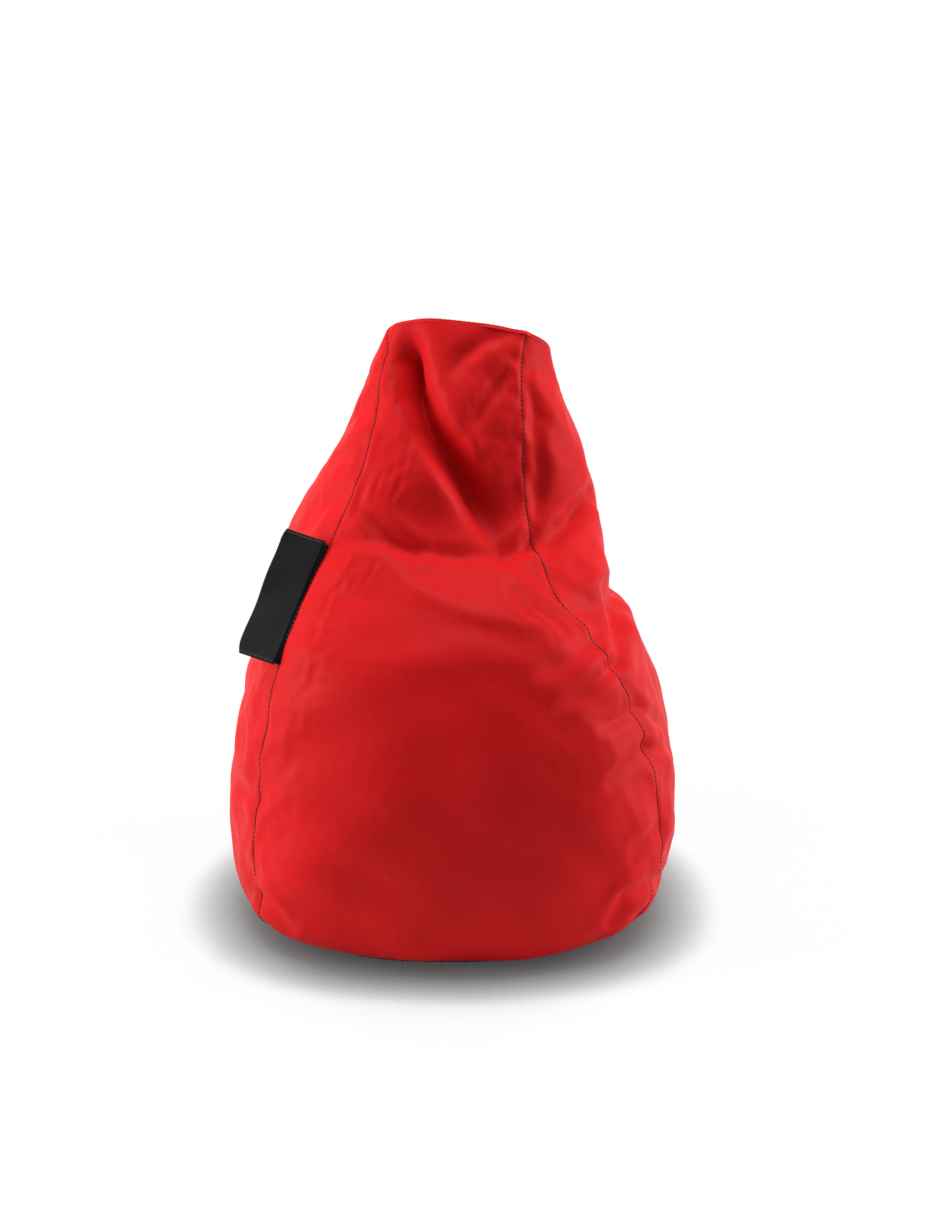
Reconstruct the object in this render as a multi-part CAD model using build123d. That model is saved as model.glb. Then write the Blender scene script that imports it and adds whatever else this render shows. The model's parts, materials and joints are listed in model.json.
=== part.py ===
from build123d import *

import math
import os
from dataclasses import astuple, dataclass

# A pear-shaped bean bag chair: a sewn cover of four gores, a cap and a base, with a zip in one back
# seam and a folded side tag, round an inner liner that holds the loose filling.
# Frame: millimetres, +Z up, the origin in the middle of the base where it stands on the floor.
# The sitter's side, the front, faces -Y.

# Driving dimensions
BAG_WIDTH = 680.0
BAG_DEPTH = 680.0
BAG_HEIGHT = 897.0

# Cloth and layers
CLOTH = 1.0
SEAM_GAP = 0.2
SEAM_ALLOWANCE = 5.0
LINER_CLOTH = 0.7
LINER_SLACK = 8.0
LINER_GAP = 0.3
FILL_SLACK = 7.0
BEND = 2.6
LINER_ROUNDER = 0.25
STEEPEST = 2.5

# How finely the outlines are drawn
FRONT_POINTS = 15
RIGHT_POINTS = 13
PLAIN_POINTS = 7
LINER_FRONT_POINTS = 19
LINER_BACK_POINTS = 11
OUTLINE_POINTS = 28
LEVELS_PER_RING = 3
FILL_LEVEL_COUNT = 22
HALVINGS = 40

# Folds fade out over this share of their length, and the liner follows them more loosely.
FOLD_FADE = 0.35
FOLD_REACH = 2.5
LINER_FOLD_SPREAD = 1.7

# Thread
THREAD = 0.8
THREAD_PROUD = 0.5
THREAD_DEPTH = 3.2
CAP_THREAD_DEPTH = 2.5
BASE_THREAD_DEPTH = 1.3
BASE_THREAD_RISE = 1.2

# Side tag, sewn into the front left seam
TAG_LENGTH = 190.0
TAG_WIDTH = 67.0
TAG_PLY = 0.9
TAG_SLIT = 0.2
TAG_MIDDLE_HEIGHT = 506.0
TAG_OFF_SEAM = 2.0
TAG_CLEAR = 1.2
TAG_STANDS_OFF = 22.0
TAG_ROOT_CLEAR = 1.4
TAG_ROOT_DEPTH = 4.4
TAG_ROOT_STEPS = 5
TAG_ROOT_SHARE = 0.86
TAG_SEARCH_TURN = 60.0
TAG_SEARCH_STEPS = 41
TAG_SEARCH_SPARE = 5.0

# Zip, set into the back left seam
ZIP_LOW_HEIGHT = 316.0
ZIP_CHAIN = 264.0
ZIP_DEPTH = 5.6
ZIP_WINDOW = 16.0
ZIP_WINDOW_SPARE = 12.0
ZIP_RISE = 0.96
TAPE_WIDTH = 14.0
TAPE_UNDER_TEETH = 1.0
TAPE_THICKNESS = 0.8
TAPE_SPARE = 16.0
TOOTH_PITCH = 4.0
TOOTH_LENGTH = 1.5
TOOTH_TIP = 0.65
TOOTH_OUTER = 3.2
TOOTH_THICKNESS = 2.6
STOP_LENGTH = 4.0
STOP_GAP = 1.0
SLIDER_LENGTH = 15.0
SLIDER_WIDTH = 11.0
SLIDER_CORNER = 2.5
SLIDER_PLATE = 1.2
SLIDER_CLEAR = 0.4
SLIDER_PARK = 10.0
LUG_THICKNESS = 1.4
LUG_HEIGHT = 3.4
WEB_THICKNESS = 0.6
WEB_SHORT = 1.0
WEB_SUNK = 0.2
LUG_LENGTH = 4.4
PIN_RADIUS = 0.8
PIN_CLEAR = 0.05
PIN_SUNK = 0.5
PIN_AHEAD = 2.0
PULL_LENGTH = 22.0
PULL_WIDTH = 7.0
PULL_THICKNESS = 1.8
PULL_EYE = 1.7
PULL_EYE_WIDTH = 3.5
PULL_NECK = 6.0
PULL_CORNER = 2.4
PULL_SIDE_CLEAR = 0.3
PULL_HOLE = 3.0
ZIP_STITCH_IN = 2.0
ZIP_STITCH_LOW = 1.5
ZIP_STITCH_SUNK = 0.2


@dataclass
class Ring:
    """One level of the bag, as shares of its height, half width and half depth.

    middle is where the ring is widest, from front to back, and shift moves it sideways. lean tips the
    ring backwards and roll tips its right side down, in degrees. skew brings the front of the left half
    forward. The seams are given by how far they stand from the bag's middle plane."""

    height: float
    half_width: float
    front: float
    back: float
    left_seam: float
    right_seam: float
    middle: float = 0.0
    shift: float = 0.0
    lean: float = 0.0
    skew: float = 0.0
    back_seam: float = 0.72
    roll: float = 0.0


# From the base to the cap: the floor, the base's round edge, the belly, the shelf where the seat
# meets the back rest, and the hood that leans back.
RINGS = [
    Ring(0.002, 0.72, 0.76, 0.77, 0.63, 0.64),
    Ring(0.024, 0.88, 0.89, 0.89, 0.77, 0.785),
    Ring(0.070, 0.952, 0.955, 0.945, 0.83, 0.85),
    Ring(0.190, 0.988, 1.00, 0.985, 0.835, 0.875),
    Ring(0.370, 0.920, 0.98, 0.96, 0.78, 0.80),
    Ring(0.500, 0.812, 0.87, 0.89, 0.70, 0.63, shift=-0.02, back_seam=0.706),
    Ring(0.590, 0.705, 0.66, 0.83, 0.60, 0.43, middle=0.06, shift=-0.060, back_seam=0.694),
    Ring(0.675, 0.650, 0.38, 0.76, 0.485, 0.325, middle=0.18, shift=-0.002, skew=0.34, back_seam=0.748),
    Ring(0.780, 0.545, 0.31, 0.66, 0.350, 0.305, middle=0.18, shift=0.03, lean=8, skew=0.12),
    Ring(0.864, 0.435, 0.22, 0.54, 0.306, 0.295, middle=0.16, shift=0.04, lean=18, roll=2),
    Ring(0.944, 0.352, 0.16, 0.41, 0.285, 0.303, middle=0.12, shift=0.053, lean=28, roll=7),
]


@dataclass
class Fold:
    """A fold pressed into the front, along places given by how far right and how high they are.

    first and last are the shares of its depth that it has at its two ends."""

    places: list
    depth: float
    half_width: float
    first: float
    last: float


# The hood's deep slanting fold, the crease where the hood meets the seat, the fold that runs down the
# hood's right side to that crease, and the pinch under it.
FOLDS = [
    Fold([(-86, 850), (-69, 797), (-46, 747), (-9, 683), (34, 618), (66, 584)], 24, 26, 0.0, 0.2),
    Fold([(-125, 585), (-55, 576), (10, 573), (75, 576), (138, 582)], 12, 24, 0.0, 0.3),
    Fold([(214, 664), (176, 622), (140, 582)], 11, 24, 0.1, 0.5),
    Fold([(222, 536), (240, 500), (248, 466), (240, 430)], 12, 24, 0.4, 0.1),
]


def ring_at(height):
    """The ring at a share of the bag's height, smooth between the listed ones."""
    rows = [astuple(ring) for ring in RINGS]
    last = len(rows) - 1

    def slope(place, column):
        low, high = rows[max(place - 1, 0)], rows[min(place + 1, last)]
        return (high[column] - low[column]) / (high[0] - low[0])

    index = max(k for k in range(last) if rows[k][0] <= height)
    start, end = rows[index], rows[index + 1]
    gap = end[0] - start[0]
    t = (height - start[0]) / gap
    values = [height]
    for column in range(1, len(start)):
        leave, arrive = slope(index, column) * gap, slope(index + 1, column) * gap
        bend = (2 * t**3 - 3 * t**2 + 1) * start[column] + (t**3 - 2 * t**2 + t) * leave
        bend += (3 * t**2 - 2 * t**3) * end[column] + (t**3 - t**2) * arrive
        values.append(bend)
    return Ring(*values)


def fine_rings():
    """The rings with smooth steps between them."""
    heights = []
    for low, high in zip(RINGS, RINGS[1:]):
        heights += spaced(low.height, high.height, LEVELS_PER_RING + 1)[:-1]
    return [ring_at(height) for height in heights] + [RINGS[-1]]


def spaced(start, end, count):
    return [start + (end - start) * k / (count - 1) for k in range(count)]


def power(value, exponent):
    """value to a power, with its sign kept."""
    return math.copysign(abs(value) ** exponent, value)


class Level:
    """A ring in millimetres: points on its outline and directions in its plane.

    A layer inside the cover has an inset, a rounder outline, and folds that spread wider."""

    def __init__(self, ring, inset=0.0, rounder=0.0, spread=1.0):
        half_width, half_depth = BAG_WIDTH / 2, BAG_DEPTH / 2
        self.cover = Level(ring) if inset else self
        self.spread = spread
        self.bend = BEND - rounder
        self.half_width = ring.half_width * half_width - inset
        self.middle = ring.middle * half_depth
        self.front = ring.front * half_depth + self.middle - inset
        self.back = ring.back * half_depth - self.middle - inset
        self.skew = ring.skew
        height = inset + ring.height * (BAG_HEIGHT - 2 * inset)
        self.centre = Vector(ring.shift * half_width, self.middle, height)
        lean, roll = math.radians(ring.lean), math.radians(ring.roll)
        self.right = Vector(math.cos(roll), 0, -math.sin(roll))
        self.rear = Vector(0, math.cos(lean), -math.sin(lean))
        self.up = self.right.cross(self.rear).normalized()
        self.back_seam = ring.back_seam * self.half_width
        self.left_seam = ring.left_seam * half_width + self.centre.X
        self.right_seam = ring.right_seam * half_width - self.centre.X

    def point(self, turn):
        """The outline's point at an angle, in degrees from +X, anticlockwise from above."""
        point = self.smooth_point(turn)
        return point - (point - self.centre).normalized() * self.pressed(turn)

    def pressed(self, turn):
        """How far the folds press the outline in at an angle."""
        place = self.cover.smooth_point(turn)
        return sum(fold_depth(place, fold, line, self.spread) for fold, line in FOLD_LINES)

    def smooth_point(self, turn):
        """The outline's point at an angle, as it would be with no folds."""
        c, s = math.cos(math.radians(turn)), math.sin(math.radians(turn))
        x = power(c, 2 / self.bend)
        y = power(s, 2 / self.bend)
        if y < 0:
            depth = self.front * (1 - self.skew * x)
        else:
            depth = self.back
        return self.centre + self.right * (x * self.half_width) + self.rear * (y * depth)

    def inside(self, turn, distance):
        """The point that lies a distance inside the outline, square to it."""
        step = 0.5
        along = self.point(turn + step) - self.point(turn - step)
        return self.point(turn) - along.cross(self.up).normalized() * distance

    def seam_turn(self, seam):
        """The angle of one of the four seams."""
        offset = {"front_left": self.left_seam, "front_right": self.right_seam}.get(seam, self.back_seam)
        share = min(offset / self.half_width, 0.98)
        away = math.degrees(math.acos(share ** (self.bend / 2)))
        turns = {"front_left": 180 + away, "front_right": 360 - away}
        turns.update({"back_left": 180 - away, "back_right": away})
        return turns[seam]

    def outward(self, turn):
        return (self.point(turn) - self.centre).normalized()

    def across(self, turn):
        return self.up.cross(self.outward(turn))


def on_front(across, height):
    """The place on the smooth front that is so far right and so high."""
    level = Level(ring_at(height / BAG_HEIGHT))
    low, high = 180.0, 360.0
    for _ in range(HALVINGS):
        middle = (low + high) / 2
        if level.smooth_point(middle).X < across:
            low = middle
        else:
            high = middle
    return level.smooth_point(low)


def fold_depth(place, fold, line, spread):
    """How deep a fold is at a place, from how near its line is and how far along it."""
    half_width = fold.half_width * spread
    nearest, share = FOLD_REACH * half_width, 0.0
    for k, (start, end) in enumerate(zip(line, line[1:])):
        step = end - start
        along = min(max((place - start).dot(step) / step.dot(step), 0.0), 1.0)
        gap = (start + step * along - place).length
        if gap < nearest:
            nearest, share = gap, (k + along) / (len(line) - 1)
    if nearest == FOLD_REACH * half_width:
        return 0.0
    depth = fold.depth * math.exp(-((nearest / half_width) ** 2))
    depth *= fold.first + (1 - fold.first) * min(share / FOLD_FADE, 1)
    return depth * (fold.last + (1 - fold.last) * min((1 - share) / FOLD_FADE, 1))


FOLD_LINES = [(fold, [on_front(x, z) for x, z in fold.places]) for fold in FOLDS]
FINE_RINGS = fine_rings()
LEVELS = [Level(ring) for ring in FINE_RINGS]
BASE_LEVEL = LEVELS[0]
CAP_LEVEL = LEVELS[-1]


def steepness(index):
    """How much thicker cloth measures in a level's plane, where the wall slopes."""
    low, high = LEVELS[max(index - 1, 0)], LEVELS[min(index + 1, len(LEVELS) - 1)]
    rise = high.centre.Z - low.centre.Z
    slope = (high.half_width - low.half_width) / rise
    return min(math.hypot(1, slope), STEEPEST)


def closed_wire(points_by_edge):
    """A closed wire from edges that are each a line of two points or a spline of more."""
    edges = []
    for points in points_by_edge:
        edges.append(Line(*points) if len(points) == 2 else Spline(*points))
    return Wire(edges)


# Cover gores

def gore_section(level, start, end, count, cloth_in_plane):
    """A gore's cut at one level: a strip of cloth with its two edges turned in at the seams."""
    turns = spaced(start, end, count)
    outer = [level.point(t) for t in turns]
    inner = [level.inside(t, cloth_in_plane) for t in turns]
    ends = []
    for turn, point, way in ((start, outer[0], 1), (end, outer[-1], -1)):
        out, into = level.outward(turn), level.across(turn) * way
        edge = point + into * SEAM_GAP
        fold = point + into * (SEAM_GAP + CLOTH)
        ends.append(
            {
                "edge": edge,
                "tip": edge - out * SEAM_ALLOWANCE,
                "inner_tip": fold - out * SEAM_ALLOWANCE,
                "inner": fold - out * cloth_in_plane,
            }
        )
    first, last = ends
    outside = [first["edge"]] + outer[1:-1] + [last["edge"]]
    inside = [last["inner"]] + inner[-2:0:-1] + [first["inner"]]
    return closed_wire(
        [
            outside,
            [last["edge"], last["tip"]],
            [last["tip"], last["inner_tip"]],
            [last["inner_tip"], last["inner"]],
            inside,
            [first["inner"], first["inner_tip"]],
            [first["inner_tip"], first["tip"]],
            [first["tip"], first["edge"]],
        ]
    )


def gore(from_seam, to_seam, count=PLAIN_POINTS):
    """One gore of the cover, between two seams, anticlockwise from above."""
    sections = []
    for index, level in enumerate(LEVELS):
        start, end = level.seam_turn(from_seam), level.seam_turn(to_seam)
        if end < start:
            start -= 360
        sections.append(gore_section(level, start, end, count, CLOTH * steepness(index)))
    return Solid.make_loft(sections)


def outline_face(level, inset=0.0):
    """The flat shape inside a level's outline."""
    turns = spaced(0, 360, OUTLINE_POINTS + 1)[:-1]
    points = [level.inside(t, inset) if inset else level.point(t) for t in turns]
    return Face(Wire([Spline(*points, periodic=True)]))


def plate(level, low, high, inset=0.0):
    """A flat piece with a level's outline, between two heights over it."""
    face = outline_face(level, inset)
    return extrude(face.translate(level.up * low), amount=high - low, dir=level.up)


# Seam threads

def band(points, outwards, acrosses, half_width, near, far):
    """A thin band along points, that goes from near to far inside them."""
    sections = []
    for point, out, side in zip(points, outwards, acrosses):
        corners = [
            point - out * near - side * half_width,
            point - out * near + side * half_width,
            point - out * far + side * half_width,
            point - out * far - side * half_width,
        ]
        sections.append(Wire([Line(corners[k], corners[(k + 1) % 4]) for k in range(4)]))
    return Solid.make_loft(sections)


def seam_thread(seam):
    """The row of stitches that holds two gores' turned-in edges together, up to just under the cap."""
    levels = LEVELS[:-1]
    turns = [level.seam_turn(seam) for level in levels]
    points = [level.point(turn) for level, turn in zip(levels, turns)]
    outwards = [level.outward(turn) for level, turn in zip(levels, turns)]
    acrosses = [level.across(turn) for level, turn in zip(levels, turns)]
    half_width = SEAM_GAP + CLOTH + THREAD_PROUD
    near, far = THREAD_DEPTH - THREAD / 2, THREAD_DEPTH + THREAD / 2
    return band(points, outwards, acrosses, half_width, near, far)


def ring_thread(level, low, high):
    """The row of stitches round the cap or the base."""
    middle = CLOTH / 2
    outer = plate(level, low, high, middle - THREAD / 4)
    return outer - plate(level, low, high, middle + THREAD / 4)


# Liner and filling

LINER_LEVELS = [Level(r, LINER_SLACK, LINER_ROUNDER, LINER_FOLD_SPREAD) for r in FINE_RINGS]
FILL_INSET = LINER_SLACK + LINER_CLOTH + FILL_SLACK
FILL_RINGS = [ring_at(h) for h in spaced(RINGS[0].height, RINGS[-1].height, FILL_LEVEL_COUNT)]
FILL_LEVELS = [Level(r, FILL_INSET, LINER_ROUNDER, LINER_FOLD_SPREAD) for r in FILL_RINGS]


def liner_gore(start, end, count):
    """Half of the liner's wall, a plain strip of cloth between its two side seams."""
    margin = 0.1
    sections = []
    for index, level in enumerate(LINER_LEVELS):
        turns = spaced(start + margin, end - margin, count)
        outer = [level.point(t) for t in turns]
        inner = [level.inside(t, LINER_CLOTH * steepness(index)) for t in turns]
        edges = [outer, [outer[-1], inner[-1]], inner[::-1], [inner[0], outer[0]]]
        sections.append(closed_wire(edges))
    return Solid.make_loft(sections)


def bead_fill():
    """The loose beads, as the one lump that they settle into inside the liner."""
    return Solid.make_loft([outline_face(level).outer_wire() for level in FILL_LEVELS])


# Side tag

def seam_curve(seam):
    return Spline(*[level.point(level.seam_turn(seam)) for level in LEVELS])


def seam_point_at(seam, height):
    """The point of a seam at a height."""
    curve = seam_curve(seam)
    low, high = 0.0, 1.0
    for _ in range(HALVINGS):
        middle = (low + high) / 2
        if curve.position_at(middle).Z < height:
            low = middle
        else:
            high = middle
    return curve.position_at(low)


def outward_at(seam, height):
    """The way out of the bag at a seam, level with the floor, blended between the nearest levels."""
    below = max(level.centre.Z for level in LEVELS if level.centre.Z <= height)
    low = next(level for level in LEVELS if level.centre.Z == below)
    high = LEVELS[LEVELS.index(low) + 1]
    share = (height - below) / (high.centre.Z - below)
    ways = [level.outward(level.seam_turn(seam)) for level in (low, high)]
    return (ways[0] * (1 - share) + ways[1] * share).normalized()


class TagPlace:
    """The straight line that the tag swings about, just off the front left seam."""

    def __init__(self):
        rise = TAG_LENGTH / 2 * TAG_ROOT_SHARE
        heights = spaced(TAG_MIDDLE_HEIGHT - rise, TAG_MIDDLE_HEIGHT + rise, TAG_ROOT_STEPS)
        self.seam = [seam_point_at("front_left", z) for z in heights]
        chord = self.seam[-1] - self.seam[0]
        self.along = chord.normalized()
        level_out = outward_at("front_left", TAG_MIDDLE_HEIGHT)
        self.out = (level_out - self.along * level_out.dot(self.along)).normalized()
        proud = max((p - self.seam[0]).dot(self.out) for p in self.seam)
        middle = self.seam[0] + chord / 2
        lift = proud - (middle - self.seam[0]).dot(self.out)
        self.pivot = middle + self.out * (lift + TAG_OFF_SEAM)
        self.side = self.out.cross(self.along)
        lie = self.lowest_angle() - math.radians(TAG_STANDS_OFF)
        self.flat = (self.out * math.cos(lie) + self.side * math.sin(lie)).normalized()

    def lowest_angle(self):
        """How far the tag can lie back on the left gore, from straight out, before it touches."""
        angles = []
        for level in LEVELS:
            seam_turn = level.seam_turn("front_left")
            for turn in spaced(seam_turn, seam_turn - TAG_SEARCH_TURN, TAG_SEARCH_STEPS):
                reach = level.point(turn) - self.pivot
                up_axis = reach.dot(self.along)
                off_axis = reach - self.along * up_axis
                near_root = off_axis.length < 4 * TAG_OFF_SEAM
                if near_root or off_axis.length > TAG_WIDTH + TAG_SEARCH_SPARE:
                    continue
                if abs(up_axis) < TAG_LENGTH / 2 + TAG_SEARCH_SPARE:
                    angle = math.atan2(off_axis.dot(self.side), off_axis.dot(self.out)) % math.tau
                    spare = math.asin(min((TAG_PLY + TAG_CLEAR) / off_axis.length, 1))
                    angles.append(angle - spare)
        return min(angles)


TAG = TagPlace()


def side_tag():
    """A woven strip folded in two along its outer edge, round where it turns at the seam."""
    thickness = 2 * TAG_PLY + TAG_SLIT
    profile = SlotOverall(TAG_WIDTH + thickness, thickness)
    slit = Rectangle(TAG_WIDTH, TAG_SLIT).translate((-thickness, 0, 0))
    flat = profile.translate((TAG_WIDTH / 2, 0, 0)) - slit.translate((TAG_WIDTH / 2, 0, 0))
    cross_plane = Plane(
        origin=TAG.pivot - TAG.along * (TAG_LENGTH / 2), x_dir=TAG.flat, z_dir=TAG.along
    )
    return extrude(cross_plane * flat, amount=TAG_LENGTH, dir=TAG.along)


def tag_root():
    """The tag's raw edges, caught between the two gores' turned-in edges."""
    sections = []
    for point in TAG.seam:
        on_axis = TAG.pivot + TAG.along * (point - TAG.pivot).dot(TAG.along)
        out = (on_axis - point).normalized()
        side = out.cross(TAG.along).normalized()
        reach = (on_axis - point).length - TAG_PLY - TAG_SLIT / 2 - TAG_ROOT_CLEAR
        half = TAG_PLY / 2
        corners = [
            point + out * reach - side * half,
            point + out * reach + side * half,
            point - out * TAG_ROOT_DEPTH + side * half,
            point - out * TAG_ROOT_DEPTH - side * half,
        ]
        sections.append(Wire([Line(corners[k], corners[(k + 1) % 4]) for k in range(4)]))
    return Solid.make_loft(sections)


# Zip

class ZipPlace:
    """The zip's own plane: x across it, y up along it, z out of the bag."""

    def __init__(self):
        low = seam_point_at("back_left", ZIP_LOW_HEIGHT)
        high = seam_point_at("back_left", ZIP_LOW_HEIGHT + ZIP_CHAIN * ZIP_RISE)
        self.along = (high - low).normalized()
        level_out = outward_at("back_left", ZIP_LOW_HEIGHT + ZIP_CHAIN / 2)
        self.out = (level_out - self.along * level_out.dot(self.along)).normalized()
        self.across = self.along.cross(self.out)
        origin = low - self.out * ZIP_DEPTH
        self.plane = Plane(origin=origin, x_dir=self.across, z_dir=self.out)


ZIP = ZipPlace()


def zip_block(x, y, z):
    """A box in the zip's plane, given its low and high ends on each axis."""
    size = [high - low for low, high in (x, y, z)]
    middle = [(high + low) / 2 for low, high in (x, y, z)]
    return ZIP.plane * Pos(*middle) * Box(*size)


def zip_window():
    """The slot left between the two gores for the zip."""
    half = ZIP_WINDOW / 2
    ends = (-ZIP_WINDOW_SPARE, ZIP_CHAIN + ZIP_WINDOW_SPARE)
    return zip_block((-half, half), ends, (-SEAM_ALLOWANCE - ZIP_DEPTH, 2 * SEAM_ALLOWANCE))


def mirrored(side, near, far):
    """An interval across the zip, on one of its two sides."""
    return (near, far) if side > 0 else (-far, -near)


def zip_tape(side):
    """Half of the zip's tape, behind one gore's edge."""
    half = TAPE_THICKNESS / 2
    ends = (-TAPE_SPARE, ZIP_CHAIN + TAPE_SPARE)
    near = TOOTH_OUTER - TAPE_UNDER_TEETH
    return zip_block(mirrored(side, near, near + TAPE_WIDTH), ends, (-half, half))


def zip_teeth(side):
    """One row of moulded teeth. The two rows stand half a pitch apart, tip to tip."""
    half = TOOTH_THICKNESS / 2
    first = TOOTH_PITCH / 2 + (TOOTH_PITCH / 2 if side > 0 else 0)
    teeth = []
    for k in range(int((ZIP_CHAIN - TOOTH_PITCH) / TOOTH_PITCH)):
        middle = first + k * TOOTH_PITCH
        ends = (middle - TOOTH_LENGTH / 2, middle + TOOTH_LENGTH / 2)
        teeth.append(zip_block(mirrored(side, TOOTH_TIP, TOOTH_OUTER), ends, (-half, half)))
    return Compound(teeth)


def zip_bottom_stop():
    """The box that holds the two tapes together at the zip's low end."""
    half = TOOTH_THICKNESS / 2
    return zip_block((-TOOTH_OUTER, TOOTH_OUTER), (-STOP_LENGTH, 0), (-half, half))


def zip_top_stops():
    """The two clips that keep the slider on the zip's high end."""
    half = TOOTH_THICKNESS / 2
    ends = (ZIP_CHAIN + STOP_GAP, ZIP_CHAIN + STOP_GAP + STOP_LENGTH)
    return Compound([zip_block(mirrored(s, TOOTH_TIP, TOOTH_OUTER), ends, (-half, half)) for s in (-1, 1)])


SLIDER_MIDDLE = ZIP_CHAIN - SLIDER_PARK
PLATE_LOW = TOOTH_THICKNESS / 2 + SLIDER_CLEAR
PLATE_TOP = PLATE_LOW + SLIDER_PLATE
PIN_HEIGHT = PLATE_TOP + LUG_HEIGHT - PIN_RADIUS - PIN_SUNK
PIN_AT = SLIDER_MIDDLE + PIN_AHEAD
LUG_NEAR = PULL_EYE_WIDTH / 2 + PULL_SIDE_CLEAR


def zip_slider():
    """The slider's two wings, their turned edges, and the lugs that carry the pull."""
    half_length, half_width = SLIDER_LENGTH / 2, SLIDER_WIDTH / 2
    ends = (SLIDER_MIDDLE - half_length, SLIDER_MIDDLE + half_length)
    outline = Pos(0, SLIDER_MIDDLE) * RectangleRounded(SLIDER_WIDTH, SLIDER_LENGTH, SLIDER_CORNER)
    wing = extrude(outline, amount=SLIDER_PLATE)
    upper = ZIP.plane * Pos(0, 0, PLATE_LOW) * wing
    lower = ZIP.plane * Pos(0, 0, -PLATE_TOP) * wing
    body = upper + lower
    # The turned edges leave a slot for the tapes.
    slot = TAPE_THICKNESS / 2 + SLIDER_CLEAR
    edge_ends = (ends[0] + SLIDER_CORNER, ends[1] - SLIDER_CORNER)
    for side in (-1, 1):
        edge = mirrored(side, half_width - SLIDER_PLATE, half_width)
        body += zip_block(edge, edge_ends, (slot, PLATE_LOW + SLIDER_PLATE / 2))
        body += zip_block(edge, edge_ends, (-PLATE_LOW - SLIDER_PLATE / 2, -slot))
        lug = mirrored(side, LUG_NEAR, LUG_NEAR + LUG_THICKNESS)
        lug_ends = (PIN_AT - LUG_LENGTH / 2, PIN_AT + LUG_LENGTH / 2)
        body += zip_block(lug, lug_ends, (PLATE_LOW + SLIDER_PLATE / 2, PLATE_TOP + LUG_HEIGHT))
    # The web that joins the two wings runs between the rows of teeth.
    web = WEB_THICKNESS / 2
    web_ends = (ends[0] + WEB_SHORT, ends[1] - WEB_SHORT)
    body += zip_block((-web, web), web_ends, (-PLATE_TOP + WEB_SUNK, PLATE_TOP - WEB_SUNK))
    return body - pin_bar()


def pin_bar():
    """The pull's pin, across the slider between its lugs."""
    reach = 2 * (LUG_NEAR + LUG_THICKNESS)
    bar = Rot(0, 90, 0) * Cylinder(PIN_RADIUS, reach)
    return ZIP.plane * Pos(0, PIN_AT, PIN_HEIGHT) * bar


def zip_pull_tab():
    """The pull: an eye round the pin, and a flat tab with a hole, hanging down the zip."""
    eye = Rot(0, 90, 0) * Cylinder(PULL_EYE, PULL_EYE_WIDTH)
    half = PULL_THICKNESS / 2
    neck_length = PULL_NECK + PULL_EYE
    neck = Pos(0, -neck_length / 2, 0) * Box(PULL_EYE_WIDTH, neck_length, PULL_THICKNESS)
    tab_length = PULL_LENGTH - PULL_NECK
    tab_shape = RectangleRounded(PULL_WIDTH, tab_length, PULL_CORNER)
    hole = Pos(0, -PULL_LENGTH / 2 + PULL_WIDTH) * Circle(PULL_HOLE / 2)
    tab = extrude(tab_shape - hole, amount=half, both=True)
    tab = Pos(0, -PULL_NECK - tab_length / 2, 0) * tab
    bore = Rot(0, 90, 0) * Cylinder(PIN_RADIUS + PIN_CLEAR, 2 * PULL_EYE_WIDTH)
    pull = eye + neck + tab - bore
    return ZIP.plane * Pos(0, PIN_AT, PIN_HEIGHT) * pull


def zip_thread(side):
    """The row of stitches that holds a gore's edge to the tape."""
    x = ZIP_WINDOW / 2 + ZIP_STITCH_IN
    half = THREAD / 2
    spare = ZIP_WINDOW_SPARE - ZIP_STITCH_IN
    heights = (-ZIP_STITCH_LOW, ZIP_DEPTH - ZIP_STITCH_SUNK)
    return zip_block(mirrored(side, x - half, x + half), (-spare, ZIP_CHAIN + spare), heights)


def opened(panel, window):
    """A gore cut back for the zip, as one piece, without shavings from the cut."""
    return (panel - window).solids().sort_by(SortBy.VOLUME)[-1]


def build():
    """Every piece of the bag, by the name of its node."""
    window = zip_window()
    parts = {
        "front_panel": gore("front_left", "front_right", FRONT_POINTS),
        "right_side_panel": gore("front_right", "back_right", RIGHT_POINTS),
        "back_panel": opened(gore("back_right", "back_left"), window),
        "left_side_panel": opened(gore("back_left", "front_left"), window),
        "top_cap": plate(CAP_LEVEL, SEAM_GAP, SEAM_GAP + CLOTH),
        "base_panel": plate(BASE_LEVEL, -BASE_LEVEL.centre.Z, CLOTH - BASE_LEVEL.centre.Z),
        "seam_thread_front_left": seam_thread("front_left"),
        "seam_thread_front_right": seam_thread("front_right"),
        "seam_thread_back_left": seam_thread("back_left") - window,
        "seam_thread_back_right": seam_thread("back_right"),
        "seam_thread_cap": ring_thread(CAP_LEVEL, -CAP_THREAD_DEPTH, SEAM_GAP + CLOTH / 2),
        "seam_thread_base": ring_thread(BASE_LEVEL, -BASE_THREAD_DEPTH, BASE_THREAD_RISE),
        "side_tag": side_tag(),
        "tag_root": tag_root(),
        "zip_tape_back": zip_tape(-1),
        "zip_tape_side": zip_tape(1),
        "zip_teeth_back": zip_teeth(-1),
        "zip_teeth_side": zip_teeth(1),
        "zip_bottom_stop": zip_bottom_stop(),
        "zip_top_stops": zip_top_stops(),
        "zip_slider": zip_slider(),
        "zip_pull_pin": pin_bar(),
        "zip_pull_tab": zip_pull_tab(),
        "zip_thread_back": zip_thread(-1),
        "zip_thread_side": zip_thread(1),
        "liner_front": liner_gore(180, 360, LINER_FRONT_POINTS),
        "liner_back": liner_gore(0, 180, LINER_BACK_POINTS),
        "liner_cap": plate(LINER_LEVELS[-1], LINER_GAP, LINER_GAP + LINER_CLOTH),
        "liner_base": plate(LINER_LEVELS[0], -LINER_GAP - LINER_CLOTH, -LINER_GAP),
        "bead_fill": bead_fill(),
    }
    return parts


def vector_words(v):
    return [round(x, 5) for x in (v.X, v.Y, v.Z)]


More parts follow.
